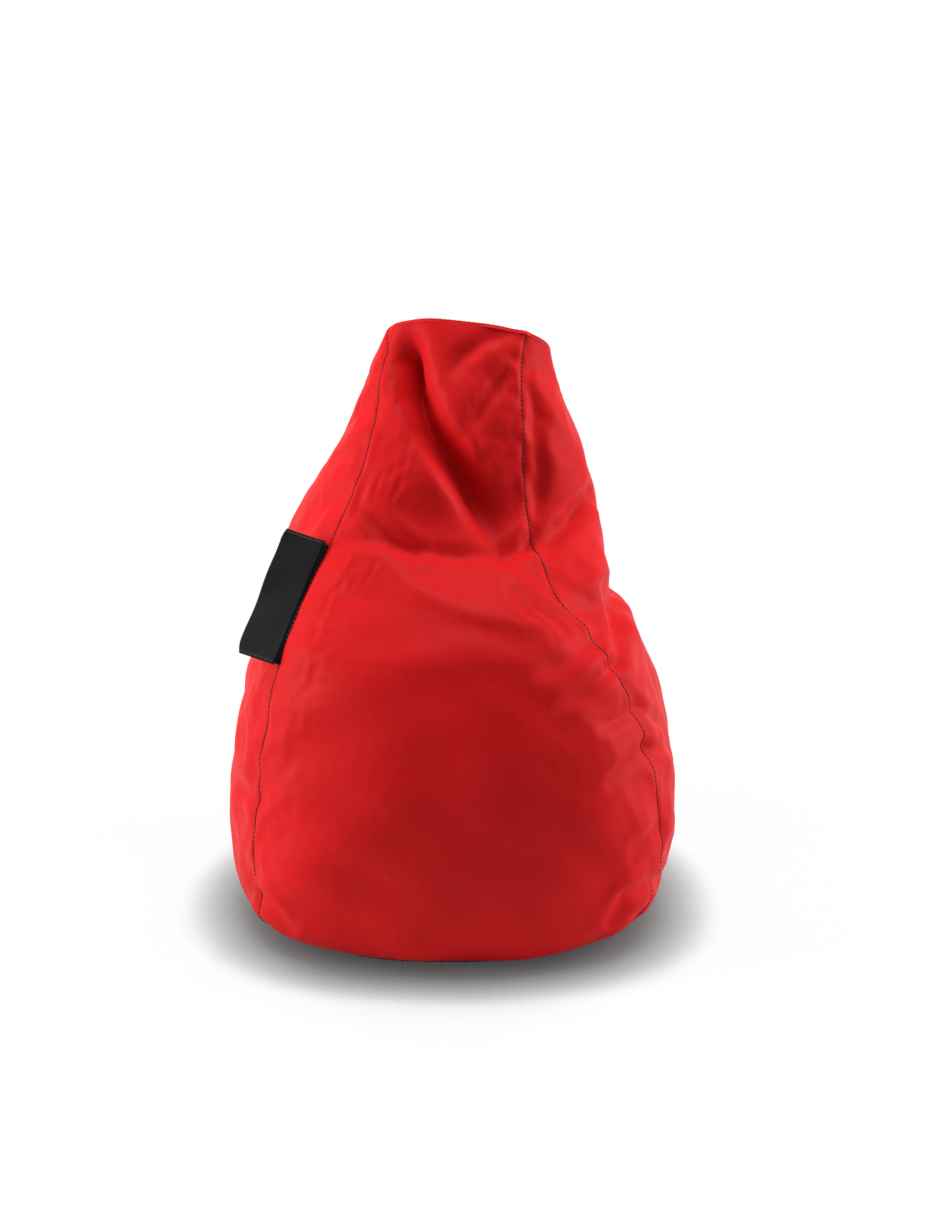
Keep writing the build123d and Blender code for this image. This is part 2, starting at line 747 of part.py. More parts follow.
if __name__ == "__main__":
    os.makedirs("parts", exist_ok=True)
    for name, part in build().items():
        export_step(part, f"parts/{name}.step")
    print("tag pivot", vector_words(TAG.pivot), "axis", vector_words(TAG.along))
    print("zip along", vector_words(ZIP.along), "out", vector_words(ZIP.out))
    pin = ZIP.plane.from_local_coords((0, PIN_AT, PIN_HEIGHT))
    print("pull pin", vector_words(pin), "axis", vector_words(ZIP.out.cross(ZIP.along)))
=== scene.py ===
import json
import math
import random

import bpy
import numpy as np
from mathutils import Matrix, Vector


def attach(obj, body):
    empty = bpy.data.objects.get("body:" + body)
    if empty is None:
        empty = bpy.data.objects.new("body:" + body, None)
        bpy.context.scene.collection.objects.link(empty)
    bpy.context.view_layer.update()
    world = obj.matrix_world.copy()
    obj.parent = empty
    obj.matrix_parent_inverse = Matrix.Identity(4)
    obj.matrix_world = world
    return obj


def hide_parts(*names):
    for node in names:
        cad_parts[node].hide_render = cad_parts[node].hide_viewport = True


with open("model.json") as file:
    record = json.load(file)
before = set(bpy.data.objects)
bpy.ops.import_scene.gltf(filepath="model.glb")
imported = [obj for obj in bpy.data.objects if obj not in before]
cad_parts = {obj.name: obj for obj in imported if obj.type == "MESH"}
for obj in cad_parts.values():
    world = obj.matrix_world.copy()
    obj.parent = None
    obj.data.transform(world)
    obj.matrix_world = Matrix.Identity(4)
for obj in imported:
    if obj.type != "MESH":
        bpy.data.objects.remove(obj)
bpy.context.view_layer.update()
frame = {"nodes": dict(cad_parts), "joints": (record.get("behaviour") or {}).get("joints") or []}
scene = bpy.context.scene
bpy.ops.object.select_all(action="DESELECT")
print("frame loaded:", len(frame["nodes"]), "nodes")


def unit(ways):
    if ways.ndim == 1:
        return ways / np.linalg.norm(ways)
    return ways / np.linalg.norm(ways, axis=-1, keepdims=True)


def running(lengths):
    # distance from the start, at each end of a row of lengths
    start = np.zeros((*lengths.shape[:-1], 1))
    return np.concatenate([start, np.cumsum(lengths, axis=-1)], axis=-1)


# camera, at the photograph's viewing angle
shot = {
    "place": (0.0, -3.0, 1.2),
    "aim": (0.0, 0.0, 0.45),
    "lens": 61.0,
    "sensor": 36.0,
    "imageSize": (940, 1215),
    "aimPixel": (452.0, 614.0),  # where the aim falls in the picture
}


def setCamera():
    cameraData = bpy.data.cameras.new("photoCamera")
    camera = bpy.data.objects.new("photoCamera", cameraData)
    scene.collection.objects.link(camera)
    place, aim = Vector(shot["place"]), Vector(shot["aim"])
    camera.location = place
    camera.rotation_euler = (aim - place).to_track_quat("-Z", "Y").to_euler()
    cameraData.lens, cameraData.sensor_width = shot["lens"], shot["sensor"]
    wide, high = shot["imageSize"]
    cameraData.shift_x = (wide / 2 - shot["aimPixel"][0]) / high
    cameraData.shift_y = (shot["aimPixel"][1] - high / 2) / high
    scene.camera = camera


def photoPixels(points):
    # where points of the bag fall in the picture, in its own pixels
    place, aim = np.array(shot["place"]), np.array(shot["aim"])
    ahead = unit(aim - place)
    right = np.array([1.0, 0.0, 0.0])
    above = np.cross(right, ahead)
    reach = points - place
    scale = shot["lens"] / shot["sensor"] * shot["imageSize"][1] / (reach @ ahead)
    across = shot["aimPixel"][0] + reach @ right * scale
    down = shot["aimPixel"][1] - reach @ above * scale
    return np.stack([across, down], axis=-1)


setCamera()
print("camera set")


# materials
finish = {
    "patchRamp": (0.3, 0.72),
    "clothRough": (-0.06, 0.08),  # how far the roughness strays to each side
    "lacquerRough": (-0.08, 0.1),
    "crumpleHeight": 0.004,
    "threadHeight": 0.0004,
    "waveRate": 20.0,  # radians to the metre of a wave texture at scale 1
    "weaveStray": 0.4,
    "sheenRoughness": 0.35,
    "grain": 0.15,
    "grainHeight": 0.0003,
}


def newMaterial(name):
    material = bpy.data.materials.new(name)
    material.use_nodes = True
    nodes = material.node_tree.nodes
    return material, nodes, material.node_tree.links, nodes["Principled BSDF"]


def addNode(nodes, kind, **values):
    node = nodes.new(kind)
    for key, value in values.items():
        if hasattr(node, key):
            setattr(node, key, value)
        else:
            node.inputs[key].default_value = value
    return node


def mathNode(nodes, links, operation, first, second):
    node = addNode(nodes, "ShaderNodeMath", operation=operation)
    for socket, value in zip(node.inputs, (first, second)):
        links.new(value, socket)
    return node.outputs[0]


def twoTones(nodes, low, high, positions=(0.0, 1.0)):
    ramp = nodes.new("ShaderNodeValToRGB")
    for element, colour, position in zip(ramp.color_ramp.elements, (low, high), positions):
        element.position = position
        element.color = (*colour, 1)
    return ramp


def strayRoughness(nodes, links, shader, noise, roughness, stray):
    rough = nodes.new("ShaderNodeMapRange")
    rough.inputs["To Min"].default_value = roughness + stray[0]
    rough.inputs["To Max"].default_value = roughness + stray[1]
    links.new(noise.outputs["Fac"], rough.inputs["Value"])
    links.new(rough.outputs["Result"], shader.inputs["Roughness"])


def weaveHeight(nodes, links, vector, threadsPerMetre):
    # over-and-under threads of a plain weave, 0 to 1
    waves = []
    for direction in ("X", "Y"):
        wave = addNode(nodes, "ShaderNodeTexWave", wave_type="BANDS", bands_direction=direction)
        wave.inputs["Scale"].default_value = threadsPerMetre / finish["waveRate"] * math.pi
        wave.inputs["Distortion"].default_value = finish["weaveStray"]
        wave.inputs["Detail"].default_value = 1.0
        links.new(vector, wave.inputs["Vector"])
        waves.append(wave.outputs["Fac"])
    return mathNode(nodes, links, "MULTIPLY", *waves)


def clothMaterial(name, look):
    material, nodes, links, shader = newMaterial(name)
    coords = nodes.new("ShaderNodeTexCoord")
    patches = addNode(nodes, "ShaderNodeTexNoise", Scale=look["patchScale"], Detail=4.0)
    links.new(coords.outputs["Object"], patches.inputs["Vector"])
    ramp = twoTones(nodes, look["deep"], look["colour"], finish["patchRamp"])
    links.new(patches.outputs["Fac"], ramp.inputs["Fac"])
    weave = weaveHeight(nodes, links, coords.outputs["UV"], look["threads"])
    tint = addNode(nodes, "ShaderNodeMixRGB", blend_type="MULTIPLY")
    shade = nodes.new("ShaderNodeMapRange")
    shade.inputs["To Min"].default_value = look["weaveShade"]
    links.new(weave, shade.inputs["Value"])
    tint.inputs[0].default_value = 1.0
    links.new(ramp.outputs["Color"], tint.inputs[1])
    links.new(shade.outputs["Result"], tint.inputs[2])
    links.new(tint.outputs[0], shader.inputs["Base Color"])
    strayRoughness(nodes, links, shader, patches, look["roughness"], finish["clothRough"])
    # small crumples under the weave
    crumple = addNode(nodes, "ShaderNodeTexNoise", Scale=look["crumpleScale"], Detail=3.0)
    links.new(coords.outputs["Object"], crumple.inputs["Vector"])
    soft = addNode(nodes, "ShaderNodeBump", Strength=look["crumple"],
                   Distance=finish["crumpleHeight"])
    links.new(crumple.outputs["Fac"], soft.inputs["Height"])
    fine = addNode(nodes, "ShaderNodeBump", Strength=look["weaveBump"],
                   Distance=finish["threadHeight"])
    links.new(weave, fine.inputs["Height"])
    links.new(soft.outputs["Normal"], fine.inputs["Normal"])
    links.new(fine.outputs["Normal"], shader.inputs["Normal"])
    shader.inputs["Specular IOR Level"].default_value = look["specular"]
    shader.inputs["Sheen Weight"].default_value = look["sheen"]
    shader.inputs["Sheen Roughness"].default_value = finish["sheenRoughness"]
    shader.inputs["Sheen Tint"].default_value = (*look["sheenTint"], 1)
    return material


def lacquerMaterial(name, look):
    material, nodes, links, shader = newMaterial(name)
    coords = nodes.new("ShaderNodeTexCoord")
    wear = addNode(nodes, "ShaderNodeTexNoise", Scale=look["wearScale"], Detail=5.0)
    links.new(coords.outputs["Object"], wear.inputs["Vector"])
    ramp = twoTones(nodes, look["deep"], look["colour"])
    links.new(wear.outputs["Fac"], ramp.inputs["Fac"])
    links.new(ramp.outputs["Color"], shader.inputs["Base Color"])
    strayRoughness(nodes, links, shader, wear, look["roughness"], finish["lacquerRough"])
    grain = addNode(nodes, "ShaderNodeBump", Strength=finish["grain"],
                    Distance=finish["grainHeight"])
    links.new(wear.outputs["Fac"], grain.inputs["Height"])
    links.new(grain.outputs["Normal"], shader.inputs["Normal"])
    shader.inputs["Metallic"].default_value = look["metallic"]
    return material


def beadMaterial(name, look):
    material, nodes, links, shader = newMaterial(name)
    coords = nodes.new("ShaderNodeTexCoord")
    beads = addNode(nodes, "ShaderNodeTexVoronoi", Scale=look["beadScale"])
    links.new(coords.outputs["Object"], beads.inputs["Vector"])
    # painted shade: the beads are lighter at their middles and darker towards the gaps between
    # them
    ramp = twoTones(nodes, look["colour"], look["deep"])
    links.new(beads.outputs["Distance"], ramp.inputs["Fac"])
    links.new(ramp.outputs["Color"], shader.inputs["Base Color"])
    bump = addNode(nodes, "ShaderNodeBump", Strength=look["bump"], Distance=look["bumpHeight"],
                   invert=True)
    links.new(beads.outputs["Distance"], bump.inputs["Height"])
    links.new(bump.outputs["Normal"], shader.inputs["Normal"])
    shader.inputs["Roughness"].default_value = look["roughness"]
    return material


redSatin = clothMaterial("redSatin", {
    "colour": (0.74, 0.0115, 0.0155), "deep": (0.63, 0.011, 0.011), "patchScale": 5.0,
    "threads": 900.0, "weaveShade": 0.86, "weaveBump": 0.25, "roughness": 0.52,
    "crumpleScale": 38.0, "crumple": 0.08,
    "specular": 0.06, "sheen": 0.03, "sheenTint": (1.0, 0.35, 0.45),
})
blackLabel = clothMaterial("blackLabel", {
    "colour": (0.010, 0.010, 0.011), "deep": (0.006, 0.006, 0.007), "patchScale": 30.0,
    "threads": 700.0, "weaveShade": 0.6, "weaveBump": 0.5, "roughness": 0.62,
    "crumpleScale": 120.0, "crumple": 0.05,
    "specular": 0.08, "sheen": 0.0, "sheenTint": (0.8, 0.8, 0.85),
})
zipTapeCloth = clothMaterial("zipTapeCloth", {
    "colour": (0.42, 0.008, 0.012), "deep": (0.34, 0.006, 0.010), "patchScale": 40.0,
    "threads": 1200.0, "weaveShade": 0.7, "weaveBump": 0.4, "roughness": 0.7,
    "crumpleScale": 90.0, "crumple": 0.05,
    "specular": 0.25, "sheen": 0.1, "sheenTint": (1.0, 0.5, 0.5),
})
linerCotton = clothMaterial("linerCotton", {
    "colour": (0.78, 0.77, 0.73), "deep": (0.68, 0.67, 0.63), "patchScale": 8.0,
    "threads": 800.0, "weaveShade": 0.85, "weaveBump": 0.3, "roughness": 0.8,
    "crumpleScale": 40.0, "crumple": 0.1,
    "specular": 0.2, "sheen": 0.1, "sheenTint": (1.0, 1.0, 1.0),
})
redThread = lacquerMaterial("redThread", {
    "colour": (0.075, 0.004, 0.005), "deep": (0.045, 0.003, 0.004), "wearScale": 900.0,
    "roughness": 0.7, "metallic": 0.0,
})
blackThread = lacquerMaterial("blackThread", {
    "colour": (0.012, 0.012, 0.013), "deep": (0.006, 0.006, 0.007), "wearScale": 900.0,
    "roughness": 0.75, "metallic": 0.0,
})
zipPlastic = lacquerMaterial("zipPlastic", {
    "colour": (0.46, 0.010, 0.014), "deep": (0.38, 0.008, 0.011), "wearScale": 300.0,
    "roughness": 0.4, "metallic": 0.0,
})
zipLacquer = lacquerMaterial("zipLacquer", {
    "colour": (0.40, 0.010, 0.014), "deep": (0.30, 0.008, 0.010), "wearScale": 500.0,
    "roughness": 0.3, "metallic": 0.5,
})
# the deep tone is painted shade in the gaps between the beads
looseBeads = beadMaterial("looseBeads", {
    "colour": (0.86, 0.86, 0.84), "deep": (0.62, 0.62, 0.60), "beadScale": 260.0,
    "bump": 0.8, "bumpHeight": 0.002, "roughness": 0.8,
})
print("materials ready")


# bag form
# each ring: height, half width, front, back, left seam, right seam,
# middle, shift, lean, skew, back seam, roll
bagForm = {
    "width": 0.68,
    "depth": 0.68,
    "height": 0.897,
    "bend": 2.6,
    "rings": [
        (0.002, 0.72, 0.76, 0.77, 0.63, 0.64, 0.0, 0.0, 0, 0.0, 0.72, 0),
        (0.024, 0.865, 0.88, 0.885, 0.76, 0.775, 0.0, 0.0, 0, 0.0, 0.72, 0),
        (0.070, 0.945, 0.95, 0.945, 0.825, 0.845, 0.0, 0.0, 0, 0.0, 0.72, 0),
        (0.190, 0.988, 1.00, 0.985, 0.835, 0.875, 0.0, 0.0, 0, 0.0, 0.72, 0),
        (0.370, 0.920, 0.98, 0.96, 0.78, 0.80, 0.0, 0.0, 0, 0.0, 0.72, 0),
        (0.500, 0.812, 0.87, 0.89, 0.70, 0.63, 0.0, -0.02, 0, 0.0, 0.706, 0),
        (0.545, 0.738, 0.775, 0.865, 0.65, 0.53, 0.02, -0.056, 0, 0.0, 0.703, 0),
        (0.590, 0.715, 0.66, 0.83, 0.60, 0.43, 0.06, -0.050, 0, 0.0, 0.699, 0),
        (0.675, 0.650, 0.38, 0.76, 0.485, 0.325, 0.18, -0.004, 0, 0.34, 0.744, 0),
        (0.780, 0.545, 0.31, 0.66, 0.350, 0.305, 0.18, 0.03, 8, 0.12, 0.72, 0),
        (0.864, 0.440, 0.22, 0.54, 0.306, 0.295, 0.16, 0.046, 18, 0.0, 0.72, 2),
        (0.944, 0.366, 0.16, 0.41, 0.275, 0.318, 0.12, 0.090, 28, 0.0, 0.72, 7),
    ],
    "rows": 170,
    "columns": {"front": 100, "right": 66, "back": 84, "left": 66},
    "seamLimit": 0.98,  # how close to the side a seam may run
    "heightSteps": 900,
    "heightWays": 16,
    "roundSteps": 240,
}
goreEnds = np.cumsum(list(bagForm["columns"].values())).tolist()
goreStarts = dict(zip(bagForm["columns"], [0] + goreEnds[:-1]))
allColumns = goreEnds[-1]
goreSeams = {
    "front": ("frontLeft", "frontRight"),
    "right": ("frontRight", "backRight"),
    "back": ("backRight", "backLeft"),
    "left": ("backLeft", "frontLeft"),
}
ringTable = np.array(bagForm["rings"], float)


def ringAt(shares):
    # the ring at each share of the height, smooth between the listed ones
    heights = ringTable[:, 0]
    last = len(heights) - 1
    low, high = np.maximum(np.arange(last + 1) - 1, 0), np.minimum(np.arange(last + 1) + 1, last)
    slopes = (ringTable[high] - ringTable[low]) / (heights[high] - heights[low])[:, None]
    index = np.clip(np.searchsorted(heights, shares, "right") - 1, 0, last - 1)
    gap = (heights[index + 1] - heights[index])[:, None]
    t = (shares - heights[index])[:, None] / gap
    blend = (2 * t**3 - 3 * t**2 + 1) * ringTable[index]
    blend = blend + (t**3 - 2 * t**2 + t) * slopes[index] * gap
    blend = blend + (3 * t**2 - 2 * t**3) * ringTable[index + 1]
    return blend + (t**3 - t**2) * slopes[index + 1] * gap


def signedPower(value, exponent):
    return np.sign(value) * np.abs(value) ** exponent


def ringPoints(rings, turns):
    # points of each ring's outline, at turns in radians from +X
    halfWide, halfDeep = bagForm["width"] / 2, bagForm["depth"] / 2
    column = [rings[:, k][:, None] for k in range(rings.shape[1])]
    x = signedPower(np.cos(turns), 2 / bagForm["bend"])
    y = signedPower(np.sin(turns), 2 / bagForm["bend"])
    middle = column[6] * halfDeep
    front = (column[2] * halfDeep + middle) * (1 - column[9] * x)
    back = column[3] * halfDeep - middle
    depth = y * np.where(y < 0, front, back)
    across = x * column[1] * halfWide
    lean, roll = np.radians(column[8]), np.radians(column[11])
    return np.stack([
        column[7] * halfWide + across * np.cos(roll),
        middle + depth * np.cos(lean),
        column[0] * bagForm["height"] - depth * np.sin(lean) - across * np.sin(roll),
    ], axis=-1)


def seamTurns(rings):
    halfWide = bagForm["width"] / 2
    wide, shift = rings[:, 1] * halfWide, rings[:, 7] * halfWide
    offsets = {
        "frontLeft": rings[:, 4] * halfWide + shift,
        "frontRight": rings[:, 5] * halfWide - shift,
        "backLeft": rings[:, 10] * wide,
        "backRight": rings[:, 10] * wide,
    }
    away = {}
    for seam, offset in offsets.items():
        share = np.minimum(offset / wide, bagForm["seamLimit"])
        away[seam] = np.arccos(share ** (bagForm["bend"] / 2))
    return {
        "frontLeft": math.pi + away["frontLeft"],
        "frontRight": math.tau - away["frontRight"],
        "backLeft": math.pi - away["backLeft"],
        "backRight": away["backRight"],
    }


def evenShares():
    # heights spaced evenly along the wall
    count = bagForm["heightWays"]
    fine = np.linspace(ringTable[0, 0], ringTable[-1, 0], bagForm["heightSteps"])
    ways = np.broadcast_to(np.linspace(0, math.tau, count, endpoint=False), (len(fine), count))
    points = ringPoints(ringAt(fine), ways)
    along = running(np.linalg.norm(np.diff(points, axis=0), axis=-1).mean(1))
    even = np.linspace(0, along[-1], bagForm["rows"])
    return np.interp(even, along, fine), even


def bagGrid():
    # the bag's wall as rows by columns, with the flat place of each point on its gore
    shares, along = evenShares()
    rings = ringAt(shares)
    turns = seamTurns(rings)
    wall = np.zeros((len(shares), allColumns, 3))
    flat = {}
    for gore, (fromSeam, toSeam) in goreSeams.items():
        start, end = turns[fromSeam], turns[toSeam]
        start = np.where(end < start, start - math.tau, start)
        steps = np.linspace(0, 1, bagForm["roundSteps"])
        fine = ringPoints(rings, start[:, None] + (end - start)[:, None] * steps)
        reach = running(np.linalg.norm(np.diff(fine, axis=1), axis=-1))
        count = bagForm["columns"][gore]
        first = goreStarts[gore]
        across = np.zeros((len(shares), count + 1))
        for row in range(len(shares)):
            even = np.linspace(0, reach[row, -1], count + 1)
            across[row] = even - reach[row, -1] / 2
            for axis in range(3):
                values = np.interp(even[:-1], reach[row], fine[row, :, axis])
                wall[row, first:first + count, axis] = values
        flat[gore] = np.stack([across, np.broadcast_to(along[:, None], across.shape)], axis=-1)
    return wall, flat


def gridNormals(wall):
    acrossStep = np.roll(wall, -1, axis=1) - np.roll(wall, 1, axis=1)
    upStep = np.gradient(wall, axis=0)
    return unit(np.cross(acrossStep, upStep))


def smoothStep(value, low, high):
    t = np.clip((value - low) / (high - low), 0, 1)
    return t * t * (3 - 2 * t)


wall, flatPlaces = bagGrid()
print("bag grid:", wall.shape[0], "rows by", wall.shape[1], "columns")


# folds that show in the photograph, each: half width in its pixels, depth and ridge in metres,
# strength at the start and the end, share of the length where it rises, path in its pixels
foldSet = {
    "folds": [
        (15, 0.060, 0.0, 0.14, 0.12, 0.14,
         [(408, 326), (405, 356), (413, 388), (428, 420),
          (448, 450), (472, 488), (492, 530), (504, 552)]),
        (9, 0.008, 0.0, 0.7, 0.1, 0.3, [(510, 332), (484, 341), (462, 357), (446, 384)]),
        (10, 0.009, 0.0, 0.5, 0.2, 0.3, [(512, 362), (490, 396), (464, 436)]),
        (8, 0.005, 0.0, 0.5, 0.2, 0.3, [(490, 440), (486, 458), (482, 482)]),
        (7, 0.007, 0.0, 0.4, 0.9, 0.3,
         [(529, 370), (536, 420), (541, 470), (536, 512), (530, 546)]),
        (12, -0.007, 0.0, 0.6, 0.2, 0.3,
         [(335, 545), (380, 560), (398, 575), (419, 592), (460, 612), (520, 628), (588, 626)]),
        (8, 0.012, 0.0, 0.6, 0.6, 0.3,
         [(334, 536), (372, 541), (415, 549), (460, 553), (505, 550), (552, 541)]),
        (8, 0.010, 0.003, 0.2, 0.6, 0.3, [(362, 512), (386, 532), (414, 552)]),
        (8, 0.010, 0.003, 0.5, 0.5, 0.3, [(552, 528), (532, 540), (506, 554)]),
        (7, 0.016, 0.004, 1.0, 0.4, 0.3, [(607, 586), (613, 606), (622, 632), (618, 662)]),
        (8, 0.011, 0.004, 0.5, 0.8, 0.3, [(600, 484), (574, 514), (547, 552)]),
        (9, 0.009, 0.0, 0.9, 0.0, 0.3, [(606, 632), (586, 647), (560, 662), (528, 684)]),
        (7, 0.009, 0.003, 1.0, 0.0, 0.3, [(616, 664), (586, 690), (550, 716)]),
        (6, 0.007, 0.002, 1.0, 0.0, 0.3, [(640, 706), (618, 720), (594, 732)]),
        (6, 0.007, 0.002, 1.0, 0.0, 0.3, [(647, 746), (625, 768), (600, 792)]),
        (6, 0.005, 0.002, 1.0, 0.0, 0.3, [(653, 830), (640, 842), (622, 853)]),
        (5, 0.006, 0.002, 0.9, 0.3, 0.3, [(642, 708), (656, 716), (672, 726)]),
        (5, 0.006, 0.002, 0.9, 0.3, 0.3, [(649, 748), (662, 748), (676, 742)]),
        (6, 0.006, 0.002, 0.6, 0.6, 0.3, [(226, 772), (244, 790), (262, 802)]),
        (6, 0.010, 0.004, 0.6, 0.3, 0.3, [(670, 874), (646, 886), (626, 897), (611, 924)]),
        (6, 0.008, 0.003, 0.4, 0.2, 0.3, [(238, 888), (256, 896), (272, 908), (290, 930)]),
    ],
    "faces": (-0.05, 0.22),  # how squarely a place has to face the camera to take a fold
    "fade": 0.45,  # share of the length where a fold dies out
    "ridgeAt": 1.9,  # where a ridge stands beside its fold, in half widths
}


def alongPath(pixels, path):
    # signed distance from a path, and the share of its length at the nearest point
    path = np.array(path, float)
    lengths = np.linalg.norm(np.diff(path, axis=0), axis=1)
    before = running(lengths)
    best = np.full(len(pixels), 1e9)
    signed = np.full(len(pixels), 1e9)
    share = np.zeros(len(pixels))
    for k, length in enumerate(lengths):
        step = (path[k + 1] - path[k]) / length
        reach = pixels - path[k]
        along = np.clip(reach @ step, 0, length)
        gap = reach - along[:, None] * step
        distance = np.linalg.norm(gap, axis=1)
        side = np.sign(step[0] * reach[:, 1] - step[1] * reach[:, 0])
        near = distance < best
        best[near] = distance[near]
        signed[near] = (distance * side)[near]
        share[near] = ((before[k] + along) / before[-1])[near]
    return signed, share


def photoFolds(wall, normals):
    points, out = wall.reshape(-1, 3), normals.reshape(-1, 3)
    pixels = photoPixels(points)
    toCamera = unit(np.array(shot["place"]) - points)
    facing = smoothStep((toCamera * out).sum(1), *foldSet["faces"])
    push = np.zeros(len(points))
    for wide, depth, height, start, end, rise, path in foldSet["folds"]:
        signed, share = alongPath(pixels, path)
        strength = start + (1 - start) * smoothStep(share, 0, rise)
        strength *= end + (1 - end) * smoothStep(1 - share, 0, foldSet["fade"])
        valley = -depth * np.exp(-((signed / wide) ** 2))
        ridge = height * np.exp(-(((np.abs(signed) - foldSet["ridgeAt"] * wide) / wide) ** 2))
        push += strength * (valley + ridge) * facing
    return push.reshape(wall.shape[:2])


# soft unevenness of the filling, and puckers that the thread pulls in beside each seam
slump = {
    "lumps": [(0.0035, 5.0), (0.0018, 11.0)],  # height and how many to the metre
    "puckerHeight": 0.0022,
    "puckerReach": 0.016,
    "puckersPerMetre": 52.0,
    "puckerStretch": (0.6, 0.6, 1.0),
    "lumpSeed": 20,
    "puckerSeed": 31,
    "waves": 9,
    "rates": (0.6, 1.5),  # slowest and fastest wave, in shares of the given rate
    "evenOut": 3.0,
    "seamColumns": 40,  # columns beside a seam that are measured
}


def waveNoise(points, perMetre, seed):
    # a sum of waves in fixed directions, which gives the same lumps each run
    draw = np.random.default_rng(seed)
    total = np.zeros(points.shape[:-1])
    for _ in range(slump["waves"]):
        way = unit(draw.normal(size=3))
        rate = perMetre * draw.uniform(*slump["rates"])
        total += np.sin(points @ way * rate * math.tau + draw.uniform(0, math.tau))
    return total / slump["evenOut"]


def seamDistances(wall):
    # distance of each point from the nearest seam, measured along its row
    best = np.full(wall.shape[:2], 1e9)
    for column in sorted(goreStarts.values()):
        for way in (1, -1):
            step = np.linalg.norm(np.roll(wall, -way, axis=1) - wall, axis=-1)
            reach = np.zeros(wall.shape[0])
            here = column
            for _ in range(slump["seamColumns"]):
                best[:, here] = np.minimum(best[:, here], reach)
                reach = reach + step[:, here]
                here = (here + way) % allColumns
    return best


def unevenness(wall):
    push = np.zeros(wall.shape[:2])
    for index, (height, perMetre) in enumerate(slump["lumps"]):
        push += height * waveNoise(wall, perMetre, slump["lumpSeed"] + index)
    near = np.exp(-((seamDistances(wall) / slump["puckerReach"]) ** 2))
    stretched = wall * np.array(slump["puckerStretch"])
    pull = waveNoise(stretched, slump["puckersPerMetre"], slump["puckerSeed"])
    return push + slump["puckerHeight"] * near * pull


# places where the cover stays on the frame: the zip, the tag's root, the base
held = {
    "zip": (0.022, 0.07),  # distances where the cover starts to be free and is free
    "tag": (0.012, 0.05),
    "tagLeast": 0.15,
    "base": (0.0, 0.03),
}


def meshPoints(mesh):
    values = np.zeros(len(mesh.vertices) * 3)
    mesh.vertices.foreach_get("co", values)
    return values.reshape(-1, 3)


def nodePoints(name):
    return meshPoints(frame["nodes"][name].data)


def nodeLine(name):
    # the two ends of a long thin node
    points = nodePoints(name)
    middle = points.mean(0)
    way = np.linalg.svd(points - middle, full_matrices=False)[2][0]
    way = way * np.sign(way[2])
    reach = (points - middle) @ way
    return middle + way * reach.min(), middle + way * reach.max()


def lineDistance(points, ends):
    start, end = ends
    way = end - start
    share = np.clip((points - start) @ way / (way @ way), 0, 1)
    return np.linalg.norm(points - start - share[..., None] * way, axis=-1)


zipEnds = [(a + b) / 2 for a, b in zip(nodeLine("zip_tape_back"), nodeLine("zip_tape_side"))]
tagJoint = next(j for j in frame["joints"] if j["name"] == "tag_flap")
tagAxis = unit(np.array(tagJoint["axis"]))
tagPivot = np.array(tagJoint["pos_m"])
tagReach = (nodePoints("side_tag") - tagPivot) @ tagAxis
tagEnds = (tagPivot + tagAxis * tagReach.min(), tagPivot + tagAxis * tagReach.max())


def freeness(wall):
    # 0 where the cover is held to the frame, 1 where it may fold
    free = smoothStep(lineDistance(wall, zipEnds), *held["zip"])
    beyondTag = smoothStep(lineDistance(wall, tagEnds), *held["tag"])
    free = free * (held["tagLeast"] + (1 - held["tagLeast"]) * beyondTag)
    return free * smoothStep(wall[..., 2], *held["base"])


free = freeness(wall)
normals = gridNormals(wall)
push = (photoFolds(wall, normals) + unevenness(wall)) * free
wall = wall + normals * push[..., None]
print("folds pressed in, deepest", round(float(-push.min()) * 1000, 1), "mm")


# cap and base discs inside the first and last rows
def discRings(edge, count, crown, way):
    middle = edge.mean(0)
    rings = []
    for k in range(1, count):
        share = 1 - k / count
        rise = crown * (1 - share**2)
        rings.append(middle + (edge - middle) * share + way * rise)
    return np.array(rings), middle + way * crown


def topWay(wall):
    edge = wall[-1]
    area = np.cross(edge - edge.mean(0), np.roll(edge, -1, axis=0) - edge.mean(0)).sum(0)
    return unit(area)


def gridFaces(rows, columns, closed):
    # faces between the points of a grid, closed round or open
    faces = []
    for row in range(rows - 1):
        for column in range(columns if closed else columns - 1):
            right = (column + 1) % columns
            faces.append((row * columns + column, row * columns + right,
                          (row + 1) * columns + right, (row + 1) * columns + column))
    return faces


def newMesh(name, points, faces, flat=None):
    mesh = bpy.data.meshes.new(name)
    mesh.from_pydata(points.reshape(-1, 3).tolist(), [], faces)
    if flat is not None:
        uv = mesh.uv_layers.new(name="flat")
        index = np.zeros(len(mesh.loops), int)
        mesh.loops.foreach_get("vertex_index", index)
        uv.data.foreach_set("uv", flat.reshape(-1, 2)[index].ravel())
    return mesh


clothRun = {
    "frames": 16,
    "slack": 0.022,  # how much larger the cloth is cut than the shape it lies on
    "seamTake": 0.006,  # how much the thread takes up along a seam
    "hold": 0.28,
    "tautHold": 0.46,  # away from the seams, where the filling keeps the cloth smooth
    "tautFrom": 0.05,
    "tautTo": 0.15,
    "pin": 0.9,
    "tension": 18.0,
    "bending": 9.0,
    "smoothing": 2,
    "seamReach": 0.012,
    "topRows": 8,  # rows under the cap's seam that are held
    "quality": 3,
    "mass": 0.12,
    "airDamping": 4.0,
    "shear": 1 / 3,
    "gravity": 0.4,
}


